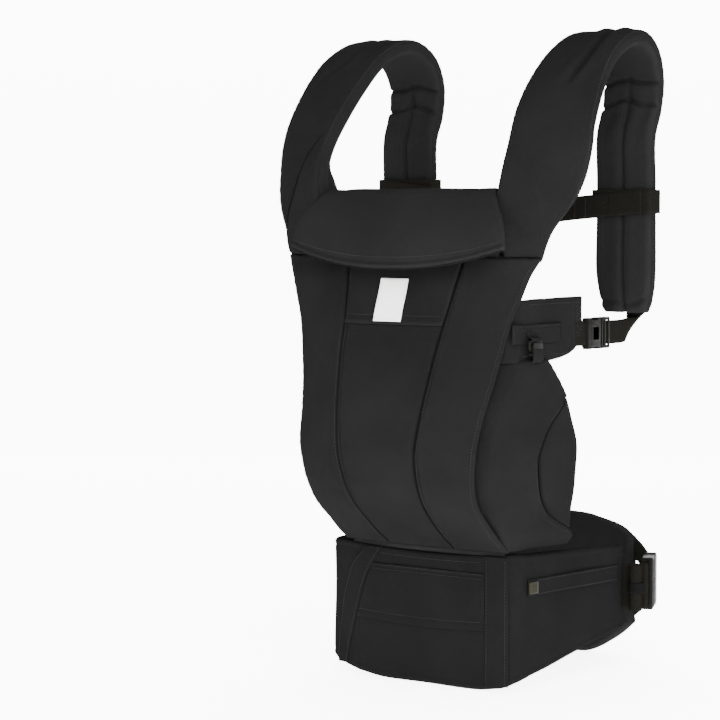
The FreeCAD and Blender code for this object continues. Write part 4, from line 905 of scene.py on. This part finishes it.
# ------------------------------------------------------------------ side bands
BAND = np.array([(-160.5, 345.5, -141.0, 409.0, 112.0, 121.0), (-155.5, 345.5, -133.5, 409.0, 120.5, 129.0),
                 (-147.0, 345.5, -127.0, 409.2, 127.5, 131.4),
                 (-140.0, 345.5, -122.0, 409.5, 131.3, 132.0), (-112.0, 345.5, -106.0, 410.0, 132.2, 132.3),
                 (-90.0, 345.5, -90.0, 410.0, 132.5, 132.5), (-70.0, 347.0, -70.0, 410.4, 133.0, 133.0),
                 (-52.0, 350.0, -52.0, 410.5, 133.5, 133.5), (-24.0, 358.5, -24.0, 410.5, 134.0, 134.0)], float)
for s in (1, -1):
    tag = side_of(s)
    q = grid_params(70)
    t_ = np.linspace(0, 1, len(BAND))
    cols = [pchip(t_, BAND[:, k], q)[:, None] for k in range(6)]
    w = grid_params(30)[None, :]
    gb = np.stack([cols[4] * (1 - w) + cols[5] * w,
                   cols[0] * (1 - w) + cols[2] * w,
                   cols[1] * (1 - w) + cols[3] * w], -1)
    if s < 0:
        gb = mir(gb)

    # the lower rear corner is rounded off
    rear_k = np.clip((gb[..., 1] + 50.0) / 26.0, 0, 1)
    low_k = np.clip((392.0 - gb[..., 2]) / 34.0, 0, 1)
    gb[..., 2] += 7.0 * rear_k ** 2 * low_k ** 1.5

    def band_bump(du, dv, lu, lv, gb=gb):
        end_ = gb[..., 1] + 24.0
        return (-0.7 * np.exp(-((end_ + 12) / 1.1) ** 2) - 0.5 * np.exp(-((end_ + 20) / 1.1) ** 2)
                + ripple(gb, 0.5, 50, 71))
    puff("side_band_" + tag, gb, t=5.0, r=2.4, mats=[SHELL_M, LINING_M], bump=band_bump,
         slot="shell_fabric", replaces=["side_band_" + tag], fill=0.5)
    # raised strip of the same cloth from the panel's edge, its rear end stitched down
    ys_ = -149.0 + 83.0 * grid_params(60)
    zs_ = 364.6 + 19.8 * grid_params(22)
    Yg, Zg = np.meshgrid(ys_, zs_, indexing="ij")
    xb_ = np.interp(Yg, [-160, -147, -140, -112, -90, -52], [118.5, 128.8, 131.5, 132.3, 132.5, 133.5])
    xb_ = xb_ + (Zg - 345.5) / 64.0 * np.interp(Yg, [-160, -147, -140, -112], [4.0, 2.5, 0.5, 0.0])
    gs_ = np.stack([xb_ + 1.9, Yg, Zg], -1)
    if s < 0:
        gs_ = mir(gs_)
    puff("side_band_strip_" + tag, gs_, t=1.8, r=0.9, mats=[SHELL_M], slot="shell_fabric", fill=0.1,
         bump=lambda A, B, C, D, gs_=gs_: ripple(gs_, 0.2, 40, 73)
         - 0.45 * np.exp(-((gs_[..., 2] - 381.6) / 1.0) ** 2))
    for zs, y0_, y1_, lx in ((382.4, -142, -67.5, 2.2), (404.5, -122, -30, 0.4), (352.5, -136, -44, 0.3)):
        y = np.linspace(y0_, y1_, 60)
        xx_ = np.interp(y, [-160, -147, -140, -112, -90, -52], [121.5, 131.0, 132.0, 132.4, 132.6, 133.5])
        pth = np.stack([s * (xx_ + lx), y, np.full_like(y, zs)], -1)
        stitch(pth, np.tile([s, 0, 0], (60, 1)))
    for y_ in (-68.5, -36.0, -31.0):
        z = np.linspace(367, 383 if y_ < -60 else 405, 30)
        pth = np.stack([np.full_like(z, s * (135.6 if y_ < -60 else 134.2)), np.full_like(z, y_), z], -1)
        stitch(pth, np.tile([s, 0, 0], (30, 1)), mat="dark" if y_ < -60 else "thread")
    web("side_band_webbing_" + tag,
        [(s * 132.0, -40, 371, 0, 0, 1), (s * 134.2, -28, 371, 0, 0, 1), (s * 134.8, -19.5, 371, 0, 0, 1)],
        25.0, 1.4, n=24)

# ------------------------------------------------------------------ waist belt
def rolled_wall(name, outer, inner, mats, bump=None, n=120, m=34, **kw):
    """outer: x, y, z low, z high; inner: x, y at the same stations."""
    o = np.array(outer, float)
    i = np.array(inner, float)
    both = spline(np.hstack([o[:, :2], np.zeros((len(o), 1)), o[:, 2:], i]), n)
    w = grid_params(m)
    zlo, zhi = both[:, 3:4], both[:, 4:5]
    zg = zlo + (zhi - zlo) * w[None, :]
    og = np.stack([np.repeat(both[:, 0:1], m, 1), np.repeat(both[:, 1:2], m, 1), zg], -1)
    ig = np.stack([np.repeat(both[:, 5:6], m, 1), np.repeat(both[:, 6:7], m, 1), zg], -1)
    return puff(name, og, i=ig, mats=mats, bump=(lambda a, b, c, d: bump(og, a, b, c, d)) if bump else None, **kw)


def belt_bump(og, du, dv, lu, lv):
    e = np.minimum(dv, lv - dv)
    return (-0.7 * np.exp(-((e - 8) / 1.3) ** 2) + 0.5 * np.exp(-(e / 5.0) ** 2)
            + ripple(og, 0.7, 85, 81)
            + 0.22 * np.sin(du * 2 * math.pi / 9.0 + np.sin(du / 15)) * np.exp(-e / 6.0))


front = [(-90, -118, 4, 145), (-60, -118, 0, 143), (0, -118, 0, 141), (60, -118, 0, 143), (90, -118, 4, 145)]
fin = [(-90, -104), (-60, -104), (0, -104), (60, -104), (90, -104)]
rolled_wall("belt_front", front, fin, [BELT_M, LINING_M], bump=belt_bump, r=5.0, ends=(0, 0, 1, 1),
            slot="belt_fabric", replaces=["belt_front"], fill=0.8)
wr = [(90.4, -118, 4.1, 145), (99, -116.9, 6, 145.7), (106, -113.8, 8.5, 146), (110.8, -108.6, 11, 146),
      (113.6, -101, 13.6, 145.4), (115.1, -90, 16.6, 144.8), (117.5, -60, 22, 144), (121, 0, 34, 142), (125, 72, 47, 139)]
wri = [(90.4, -104), (94, -104), (97.2, -103.2), (99.3, -101.6), (100.5, -98.6), (101.4, -90), (103.5, -60), (107, 0),
       (111, 72)]
rolled_wall("belt_wing_right", wr, wri, [BELT_M, LINING_M], bump=belt_bump, r=5.0, ends=(0, 1, 1, 1),
            slot="belt_fabric", replaces=["belt_wing_right"], fill=0.8)
wl = [(-131, 72, 47, 139), (-138, 30, 38, 142), (-140, -20, 27, 144), (-140.5, -78, 20, 145),
      (-137, -98, 16, 145), (-127, -109.5, 13, 145.5), (-110, -116, 9, 146), (-90.4, -118, 4.1, 145)]
wli = [(-117, 72), (-124, 30), (-126, -20), (-126.3, -74), (-124, -87), (-118, -94.5), (-106, -102), (-90.4, -104)]
rolled_wall("belt_wing_left", wl, wli, [BELT_M, LINING_M], bump=belt_bump, r=5.0, ends=(0, 0, 1, 1),
            slot="belt_fabric", replaces=["belt_wing_left"], fill=0.8)
lum = [(95, 150, 41, 137), (72, 158, 24, 148), (40, 163.5, 6, 155), (20, 165.5, 0, 158), (-50, 163, 0, 157),
       (-86, 150, 12, 150), (-114, 122, 28, 144), (-128, 92, 42, 140), (-130.8, 73, 47, 139)]
lumi = [(92, 136.5), (68, 144.5), (38, 149.7), (19.5, 151.5), (-46, 149), (-77.5, 138.5), (-102, 113.5),
        (-114.5, 86), (-117, 73)]
rolled_wall("lumbar_pad", lum, lumi, [BELT_M, LINING_M], bump=belt_bump, n=150, r=5.0, ends=(1, 0, 1, 1),
            slot="belt_fabric", replaces=["lumbar_pad"], fill=0.9)

# strips over the two front folds, pocket overlay between them
LEAN = np.array([(8, -122, -107.5), (12, -121, -106), (35, -119, -101), (60, -115, -94), (85, -111, -87),
                 (105, -105, -80.5), (122, -98, -71.5), (134, -86.5, -63.5), (143, -78, -56.5)], float)


def belt_y(x):
    """Front face of the belt's outer cloth at x."""
    return np.interp(x, [-137, -127, -118, -110, -100, -90.4, 90, 96, 100, 104, 107, 110],
                     [-99, -110.6, -114.9, -117.0, -118.3, -118.6, -118.6, -118.1, -117.2, -115.9, -114.4, -111.6])


def laid(z, x, up):
    return np.stack([x, belt_y(x) - up, z], -1)


for s in (1, -1):
    tag = side_of(s)
    z = 7.5 + (142.5 - 7.5) * grid_params(90)
    w = np.linspace(0, 1, 26)
    if s < 0:
        z = 11.5 + (141.5 - 11.5) * grid_params(90)
        x0, x1 = (pchip(LEAN[:, 0], LEAN[:, c], z)[:, None] for c in (1, 2))
    else:
        x0, x1 = np.full((90, 1), 76.0), np.full((90, 1), 104.0)
    X = x0 * (1 - w) + x1 * w
    ZZ = np.repeat(z[:, None], 26, 1)
    gs = laid(ZZ, X, 1.3)
    ig = laid(ZZ, X, -0.5)
    puff("belt_strip_" + tag, gs, i=ig, r=1.1, mats=[BELT_M],
         bump=lambda a, b, c, d, gs=gs: ripple(gs, 0.2, 40, 91),
         slot="belt_fabric", replaces=["belt_strip_" + tag], fill=0.1)
    for f_ in (0.1, 0.9):
        xm = (x0 * (1 - f_) + x1 * f_)[:, 0]
        stitch(laid(z, xm, 1.75)[3:-3], np.tile([0, -1, 0], (84, 1)), slot="belt_fabric")
z = 64 + 60 * grid_params(44)
xl_ = np.clip(pchip(LEAN[:, 0], LEAN[:, 2], z) + 0.3, -95, 0)[:, None]
w = np.linspace(0, 1, 90)
X = xl_ * (1 - w) + 75.8 * w
ZZ = np.repeat(z[:, None], 90, 1)
mouth = np.sin(np.pi * w)[None, :] ** 0.6 * np.exp(-((ZZ - 64) / 26.0) ** 2)
sag = 3.0 * np.sin(np.pi * w)[None, :] * np.clip((100 - ZZ) / 36.0, 0, 1)
gp = laid(ZZ - sag, X, 1.3)
gp[..., 1] -= 1.5 * mouth
puff("belt_pocket_overlay", gp, i=gp + np.array([0, 1.8, 0]), r=1.0, mats=[BELT_M, LINING_M],
     bump=lambda a, b, c, d: ripple(gp, 0.25, 50, 95) - 0.45 * np.exp(-((ZZ - 72) / 1.2) ** 2)
     - 0.35 * np.exp(-((ZZ - 119.5) / 2.4) ** 2),
     slot="belt_fabric", replaces=["belt_pocket_overlay"], fill=0.1)
for zs, dbl in ((119.5, 4.4), (73.0, 0.0), (135.0, 0.0)):
    k_ = int(np.argmin(np.abs(z - zs))) if zs < 125 else None
    if k_ is None:
        xl = np.linspace(-62, 74, 120)
        pth = laid(np.full_like(xl, zs) - 1.5 * np.sin(np.pi * np.linspace(0, 1, 120)), xl, 0.5)
    else:
        pth = gp[k_, 1:-1] + np.array([0, -0.45, 0])
    stitch(pth, np.tile([0, -1, 0], (len(pth), 1)), double=dbl, slot="belt_fabric")

# adjuster channels along the wings, with their tabs
for s in (1, -1):
    tag = side_of(s)
    if s > 0:
        a, b = np.array([115.0, -98.0, 0.0]), np.array([124.6, 60.0, 0.0])
    else:
        a, b = np.array([-140.7, -76.0, 0.0]), np.array([-140.2, -22.0, 0.0])
    d = unit(b - a)
    L = np.linalg.norm(b - a)
    nrm = np.array([d[1], -d[0], 0.0]) * (1 if s > 0 else -1)
    q = np.linspace(0, 1, 60)
    w = np.linspace(0, 1, 16)
    gch = (a[None, None, :] + d * (q[:, None, None] * L) + nrm * 2.3
           + np.array([0, 0, 1.0]) * (101 + 18 * w)[None, :, None])
    ob, og_, _ = puff("adjuster_channel_" + tag, gch, i=gch - nrm * 2.0, r=0.8, mats=[BELT_M],
                      bump=lambda A, B, C, D, gch=gch: ripple(gch, 0.15, 40, 97),
                      slot="belt_fabric", replaces=["adjuster_channel_" + tag], fill=0.1)
    for zs in (103.0, 117.0):
        pth = a + d * (np.linspace(0.01, 0.99, 60)[:, None] * L) + nrm * 2.5 + np.array([0, 0, zs])
        stitch(pth, np.tile(nrm, (60, 1)), slot="belt_fabric")
    ex = d
    tc = a + d * 6.0 + nrm * (0.9 + 1.2 + 0.4 + 1.5) + np.array([0, 0, 110.0])
    blocks("seat_adjuster_" + tag,
           [(-7, 7, -6.2, 6.2, -1.5, 1.2, 1.0)] + [(x0, x0 + 1.2, -4.8, 4.8, 0.9, 1.8, 0.35)
                                                  for x0 in (-4.6, -2.2, 0.2, 2.6)],
           tc, ex, (0, 0, 1), nrm, mat=TAB_M, body="seat_adjuster_" + tag, slot="adjuster_tab",
           replaces=["seat_adjuster_" + tag])

# rolled seam allowance that joins the panel's lower edge to the belt, seen only from inside
xj = np.linspace(-99, 99, 40)
tube("panel_belt_join", np.stack([xj, [float(belt_y(x_)) + 6.5 for x_ in xj], np.full_like(xj, 145.0)], -1), 5.2,
     LINING_M, n=120)

# ------------------------------------------------------------------ buckles
def buckle(tag, W, TH, LF, LM, webw, origin, ex, ey, ez, male_body, arm_a, arm_b, fem_body, names, barb):
    ex, ey, ez = (unit(np.array(a, float)) for a in (ex, ey, ez))
    h, hw = TH / 2, W / 2
    sk, wall = 2.0, 3.0
    fem = [(-LF, -0.2, -hw + 2.2, hw - 2.2, h - sk, h, 0.9), (-LF, -0.2, -hw + 2.2, hw - 2.2, -h, -h + sk, 0.9),
           (-6, 0, hw - wall, hw, -h, h, 1.2), (-6, 0, -hw, -hw + wall, -h, h, 1.2),
           (-LF + 4.3, -LF + 7.5, -hw, hw, -h, h, 1.2),
           (-LF, -LF + 1.7, -hw + 1, hw - 1, -h + 1, h - 1, 0.7),
           (-LF, -LF + 6, hw - wall, hw, -h + 0.5, h - 0.5, 1.2), (-LF, -LF + 6, -hw, -hw + wall, -h + 0.5, h - 0.5, 1.2),
           (-LF + 9, -4, -hw * 0.42, hw * 0.42, h - 0.5, h, 0.35)]
    blocks(names["f"], fem, origin, ex, ey, ez, body=fem_body, replaces=[names["f"]])
    mh = h - 0.5
    male = [(0.6, 5, -hw, hw, 1.9, mh, 0.9), (0.6, 5, -hw, hw, -mh, -1.9, 0.9),
            (0.6, 3.4, -hw, hw, -mh, mh, 0.9),
            (0.6, LM, hw - 3.2, hw, -mh, mh, 1.2), (0.6, LM, -hw, -hw + 3.2, -mh, mh, 1.2),
            (LM - 3, LM, -hw + 1, hw - 1, 1.9, mh, 0.8), (LM - 3, LM, -hw + 1, hw - 1, -mh, -1.9, 0.8),
            (LM / 2 - 1, LM / 2 + 2, -hw + 1, hw - 1, 1.9, mh, 0.8), (LM / 2 - 1, LM / 2 + 2, -hw + 1, hw - 1, -mh, -1.9, 0.8),
            (-LF + 8, 2, -3, 3, -h + sk + 0.5, h - sk - 0.5, 0.7)]
    blocks(names["m"], male, origin, ex, ey, ez, body=male_body, replaces=[names["m"]])
    yo = hw - wall - 0.5
    la = LF - 8.5
    hz = TH / 2 - sk - 0.5
    for sg, bd_, nm in ((1, arm_a, names["a"]), (-1, arm_b, names["b"])):
        arm = [(-la, 0, *sorted((sg * (yo - 3), sg * yo)), -hz, hz, 0.6),
               (-la, -la + (la - (12 if W > 40 else 11)), *sorted((sg * (yo - 1), sg * (yo + 0.5 + barb))), -hz, hz, 0.45)]
        blocks(nm, arm, origin, ex, ey, ez, body=bd_, replaces=[nm])


WE = unit(np.array([0.45, -0.893, 0.0]))
WMo = np.array([112.0, 150.0, 92.5]) + WE * 28
buckle("waist", 57, 13, 28, 20, 50, WMo, WE, (0, 0, 1), (WE[1], -WE[0], 0), "waist_male", "waist_arm_a",
       "waist_arm_b", ROOT, {k: "waist_buckle_" + v for k, v in
                             (("f", "female"), ("m", "male"), ("a", "arm_a"), ("b", "arm_b"))}, 0.8)
for s in (1, -1):
    tag = side_of(s)
    buckle("side", 33, 9, 24, 18, 25, (s * 134.5, 3.0, 371.0), (0, 1, 0), (0, 0, s), (s, 0, 0),
           "side_male_" + tag, "side_arm_%s_a" % tag, "side_arm_%s_b" % tag, ROOT,
           {k: "side_buckle_%s_%s" % (tag, v) for k, v in
            (("f", "female"), ("m", "male"), ("a", "arm_a"), ("b", "arm_b"))}, 0.6)
buckle("chest", 33, 9, 24, 18, 25, (0, 28.0, 497.0), (1, 0, 0), (0, 0, 1), (0, -1, 0), "chest_male",
       "chest_arm_a", "chest_arm_b", "chest_strap",
       {k: "chest_buckle_" + v for k, v in (("f", "female"), ("m", "male"), ("a", "arm_a"), ("b", "arm_b"))}, 0.6)

# ------------------------------------------------------------------ webbing
WN = np.array([-WE[1], WE[0], 0.0])
p0, p1 = WMo + WE * 20.4 + WN * 0.9, WMo + WE * 38 + WN * 0.9
pm = (p0 + p1) / 2
up = (0, 0, 1)
pa, pb = WMo + WE * 32.5 + WN * 0.9, WMo + WE * 36 + WN * 0.9
web("waist_webbing", [(*p0, *up), (*pm, *up), (*pa, *up), (*pb, *up), (*p1, *up), (135.5, 86.0, 92.5, *up), (131.0, 82.0, 92.5, *up),
                      (120.5, 74.0, 92.5, *up)], 50.0, 1.5, n=60, nw=13, replaces=["waist_webbing"])
for s in (1, -1):
    tag = side_of(s)
    pts = [(s * 135.4, 21.4, 371, 0, 0, 1), (s * 135.4, 34, 371, 0, 0, 1), (s * 135.4, 45, 371, 0, 0, 1),
           (s * 135.7, 58, 372.5, s * 0.12, 0, 1), (s * 138.0, 66, 376, s * 0.7, 0, 0.9),
           (s * 141.5, 68.5, 392, s * 1, 0, 0.12), (s * 142.0, 60.5, 412, s * 1, 0, 0)]
    web("side_webbing_" + tag, pts, 25.0, 1.5, n=80, replaces=["side_webbing_" + tag])
    # doubled end of the webbing inside the male half
    web("side_buckle_inner_webbing_" + tag, [(s * 133.5, y_, 371, 0, 0, 1) for y_ in (8.4, 14.0, 19.5, 25.5)],
        25.0, 1.1, n=10, body="side_male_" + tag)
web("chest_buckle_inner_webbing", [(x_, 28.95, 497, 0, 0, 1) for x_ in (5.4, 10.5, 16.0, 22.0)], 25.0, 1.1,
    body="chest_male", n=10)
web("waist_buckle_inner_webbing", [(*(WMo + WE * x_ - WN * 0.95), *up) for x_ in (5.4, 10.0, 15.0, 19.8)], 49.0, 1.1,
    body="waist_male", n=10)
lf = 44.0 - 10.5 - 1.6
web("chest_webbing_right", [(18.3, 27.1, 497, 0, 0, 1), (28, 27.1, 497, 0, 0, 1), (38, 27.1, 497, 0, 0, 1),
                            (95, lf - 1.2, 502.5, 0, 0, 1), (170, lf - 1.0, 509, 0, 0, 1)], 25.0, 1.5,
    body="chest_strap", n=90, replaces=["chest_webbing_right"])
web("chest_webbing_left", [(-24.8, 28, 497, 0, 0, 1), (-60, lf - 2.0, 504, 0, 0, 1),
                           (-95, lf - 1.2, 511.5, 0, 0, 1), (-170, lf - 1.0, 521, 0, 0, 1)], 25.0, 1.5,
    body="chest_strap", n=90, replaces=["chest_webbing_left"])
for xb_, dk in ((88.0, "thread"), (101.0, "thread"), (130.5, "dark")):
    zc_ = float(np.interp(xb_, [95, 170], [502.5, 509.0]))
    zb_ = np.linspace(zc_ - 11, zc_ + 11, 16)
    yb_ = float(np.interp(xb_, [38, 95, 170], [27.1, lf - 1.2, lf - 1.0])) - 1.0
    stitch(np.stack([np.full_like(zb_, xb_), np.full_like(zb_, yb_), zb_], -1),
           np.tile([0, -1, 0], (16, 1)), body="chest_strap", mat=dk, pitch=2.6, slot="webbing")
for s, zz_ in ((1, 509.0), (-1, 521.0)):
    tag = side_of(s)
    hx, hy = 71 / 2 + 0.8, 21 / 2 + 0.8
    ring = []
    for a in np.linspace(0, 2 * math.pi, 48, endpoint=False):
        c_, s_ = math.cos(a), math.sin(a)
        e_ = 0.22
        ring.append((s * 143 + hx * math.copysign(abs(c_) ** e_, c_), 44 + hy * math.copysign(abs(s_) ** e_, s_), zz_))
    rg = spline(ring, 140, closed=True)
    tn = unit(np.roll(rg, -1, 0) - np.roll(rg, 1, 0))
    nr = unit(np.cross(tn, np.array([0, 0, 1.0])))
    hts = np.linspace(-12.5, 12.5, 9)
    mid_ = rg[:, None, :] + np.array([0, 0, 1.0]) * hts[None, :, None]
    o_, i_ = mid_ + nr[:, None, :] * 0.8, mid_ - nr[:, None, :] * 0.8
    v, f, uvx, _ = closed_grid(o_, i_)
    ob = finish_mesh("chest_loop_" + tag, v, f, uvx, [WEB_M], body="chest_strap", slot="webbing",
                     replaces=["chest_loop_" + tag])

# V yoke from the lumbar pad to the buckle: two webbings that meet at the rear bar
for nm, z0, z1 in (("upper", 124.0, 104.0), ("lower", 61.0, 81.0)):
    pts = [(93.0, 148.0, z0, 0, 0, 1), (100.0, 150.2, z0 + (z1 - z0) * 0.35, 0, 0, 1),
           (110.5, 151.5, z1, 0, 0, 1), (112.6, 149.6, z1, 0, 0, 1)]
    ob, *_ = web("waist_yoke_" + nm, pts, 25.0, 1.5, n=36)
    if nm == "upper":
        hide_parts("waist_yoke")

# rolled webbing tail and its elastic keeper
th = np.linspace(0.6, 2 * math.pi * 3.6, 170)
rr = 1.6 + (7.3 - 1.6) * (th - th[0]) / (th[-1] - th[0])
sp = np.stack([139 + rr * np.cos(th + 2.0), 75 + rr * np.sin(th + 2.0), np.full_like(th, 92.5)], -1)
tn = unit(np.gradient(sp, axis=0))
nr = unit(np.cross(tn, np.array([0, 0, 1.0])))
hts = np.linspace(-25, 25, 17)
mid_ = sp[:, None, :] + np.array([0, 0, 1.0]) * hts[None, :, None]
v, f, uvx, _ = closed_grid(mid_ + nr[:, None, :] * 0.55, mid_ - nr[:, None, :] * 0.55)
roll = finish_mesh("webbing_roll", v, f, uvx, [WEB_M], slot="webbing", replaces=["webbing_roll"])
a = np.linspace(0, 2 * math.pi, 64)
kr = np.stack([139 + 8.1 * np.cos(a), 75 + 8.1 * np.sin(a), np.full_like(a, 92.5)], -1)
nr = np.stack([np.cos(a), np.sin(a), 0 * a], -1)
hts = np.linspace(-6, 6, 7)
mid_ = kr[:, None, :] + np.array([0, 0, 1.0]) * hts[None, :, None]
v, f, uvx, _ = closed_grid(mid_ + nr[:, None, :] * 0.45, mid_ - nr[:, None, :] * 0.4)
kp = finish_mesh("webbing_keeper", v, f, uvx, [BIND_M], slot="webbing", replaces=["webbing_keeper"])

# ------------------------------------------------------------------ leg rings and hooks
for s in (1, -1):
    tag = side_of(s)
    o = (s * 139.15, -121.0, 363.0)
    blocks("leg_ring_" + tag,
           [(-11, 11, 3.0, 5.5, -1.25, 1.25, 0.9), (-11, 11, -5.5, -3.0, -1.25, 1.25, 0.9),
            (-11, -9, -5.5, 5.5, -1.25, 1.25, 0.9), (9, 11, -5.5, 5.5, -1.25, 1.25, 0.9)],
           o, (0, s, 0), (0, 0, 1), (s, 0, 0), replaces=["leg_ring_" + tag])
    web("leg_ring_tab_" + tag, [(s * 133.4, -121, 378, 0, 1, 0), (s * 136.0, -121, 372.5, 0, 1, 0),
                                (s * 140.2, -121, 370.2, 0, 1, 0), (s * 141.0, -121, 367.0, 0, 1, 0)],
        16.0, 1.0, n=24, mat=SHELL_M, slot="shell_fabric")
    web("leg_hook_sleeve_" + tag, [(s * 141.2, -121, 346.2, 0, 1, 0), (s * 144.0, -121, 350.0, 0, 1, 0),
                                   (s * 144.6, -121, 355.0, 0, 1, 0), (s * 144.2, -121, 359.2, 0, 1, 0)],
        18.0, 1.2, n=24, mat=SHELL_M, slot="shell_fabric", body="leg_hook_" + tag)
    blocks("leg_hook_" + tag,
           [(141.4, 143.6, -8, 8, 0, 16.5, 0.8), (136.8, 142.2, -8, 8, 4.0, 5.5, 0.5),
            (136.8, 142.2, -7, 7, 11.6, 12.8, 0.4)],
           (0, -121.0, 349.4), (s, 0, 0), (0, 1, 0), (0, 0, 1), body="leg_hook_" + tag,
           replaces=["leg_hook_" + tag])

write_stitches()

# ------------------------------------------------------------------ stage, lights, camera
me = bpy.data.meshes.new("floor")
prof_ = [(-3.0, 0.0)] + [(2.2, 0.0)] + [(2.2 + 0.9 * math.sin(t), 0.9 - 0.9 * math.cos(t))
                                        for t in np.linspace(0.05, math.pi / 2, 24)] + [(3.1, 4.0)]
verts, faces = [], []
dirv = np.array([-math.sin(math.radians(35)), math.cos(math.radians(35))])
perp = np.array([dirv[1], -dirv[0]])
for k, (dd, hgt) in enumerate(prof_):
    for w in (-5.0, 5.0):
        q = dirv * dd + perp * w
        verts.append((q[0], q[1], hgt))
    if k:
        faces.append((2 * k - 2, 2 * k - 1, 2 * k + 1, 2 * k))
me.from_pydata(verts, [], faces)
me.polygons.foreach_set("use_smooth", [True] * len(me.polygons))
floor = bpy.data.objects.new("floor", me)
bpy.context.collection.objects.link(floor)
m, nt, b = nodes_of("floor_white")
b.inputs["Base Color"].default_value = (0.97, 0.97, 0.97, 1)
b.inputs["Roughness"].default_value = 0.9
b.inputs["Emission Color"].default_value = (1, 1, 1, 1)
b.inputs["Emission Strength"].default_value = 6.0
me.materials.append(m)
floor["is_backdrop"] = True

world = bpy.data.worlds.new("studio")
bpy.context.scene.world = world
world.use_nodes = True
world.node_tree.nodes["Background"].inputs[0].default_value = (1, 1, 1, 1)
world.node_tree.nodes["Background"].inputs[1].default_value = 2.0


def area(name, loc, target, size, power):
    l = bpy.data.lights.new(name, "AREA")
    l.energy = power
    l.shape = "RECTANGLE"
    l.size, l.size_y = size
    ob = bpy.data.objects.new(name, l)
    bpy.context.collection.objects.link(ob)
    ob.location = loc
    ob.rotation_euler = (Vector(target) - Vector(loc)).to_track_quat("-Z", "Y").to_euler()
    return ob


a35 = math.radians(35)
right = Vector((math.cos(a35), math.sin(a35), 0))
fwd = Vector((-math.sin(a35), math.cos(a35), 0))
area("key", tuple(-fwd * 2.1 + right * 0.35 + Vector((0, 0, 1.5))), (0, 0, 0.35), (2.0, 2.0), 170)
area("fill", tuple(fwd * 1.2 + right * 0.9 + Vector((0, 0, 1.9))), (0, 0, 0.45), (1.2, 1.2), 4)
area("top", (0.1, 0.0, 2.4), (0, 0, 0.3), (1.8, 1.8), 30)

cam_d = bpy.data.cameras.new("camera")
cam = bpy.data.objects.new("camera", cam_d)
bpy.context.collection.objects.link(cam)
cam.location = Vector((math.sin(a35) * 2.86, -math.cos(a35) * 2.86 + SHIFT / 1000, 0.512))
look = fwd + right * ((360 - 491) / 2630.0) - Vector((0, 0, 1)) * ((360 - 199) / 2630.0)
cam.rotation_euler = look.to_track_quat("-Z", "Y").to_euler()
cam_d.sensor_width = 36.0
cam_d.lens = 2638.0 / 720.0 * 36.0
cam_d.clip_end = 30
bpy.context.scene.camera = cam

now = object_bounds()
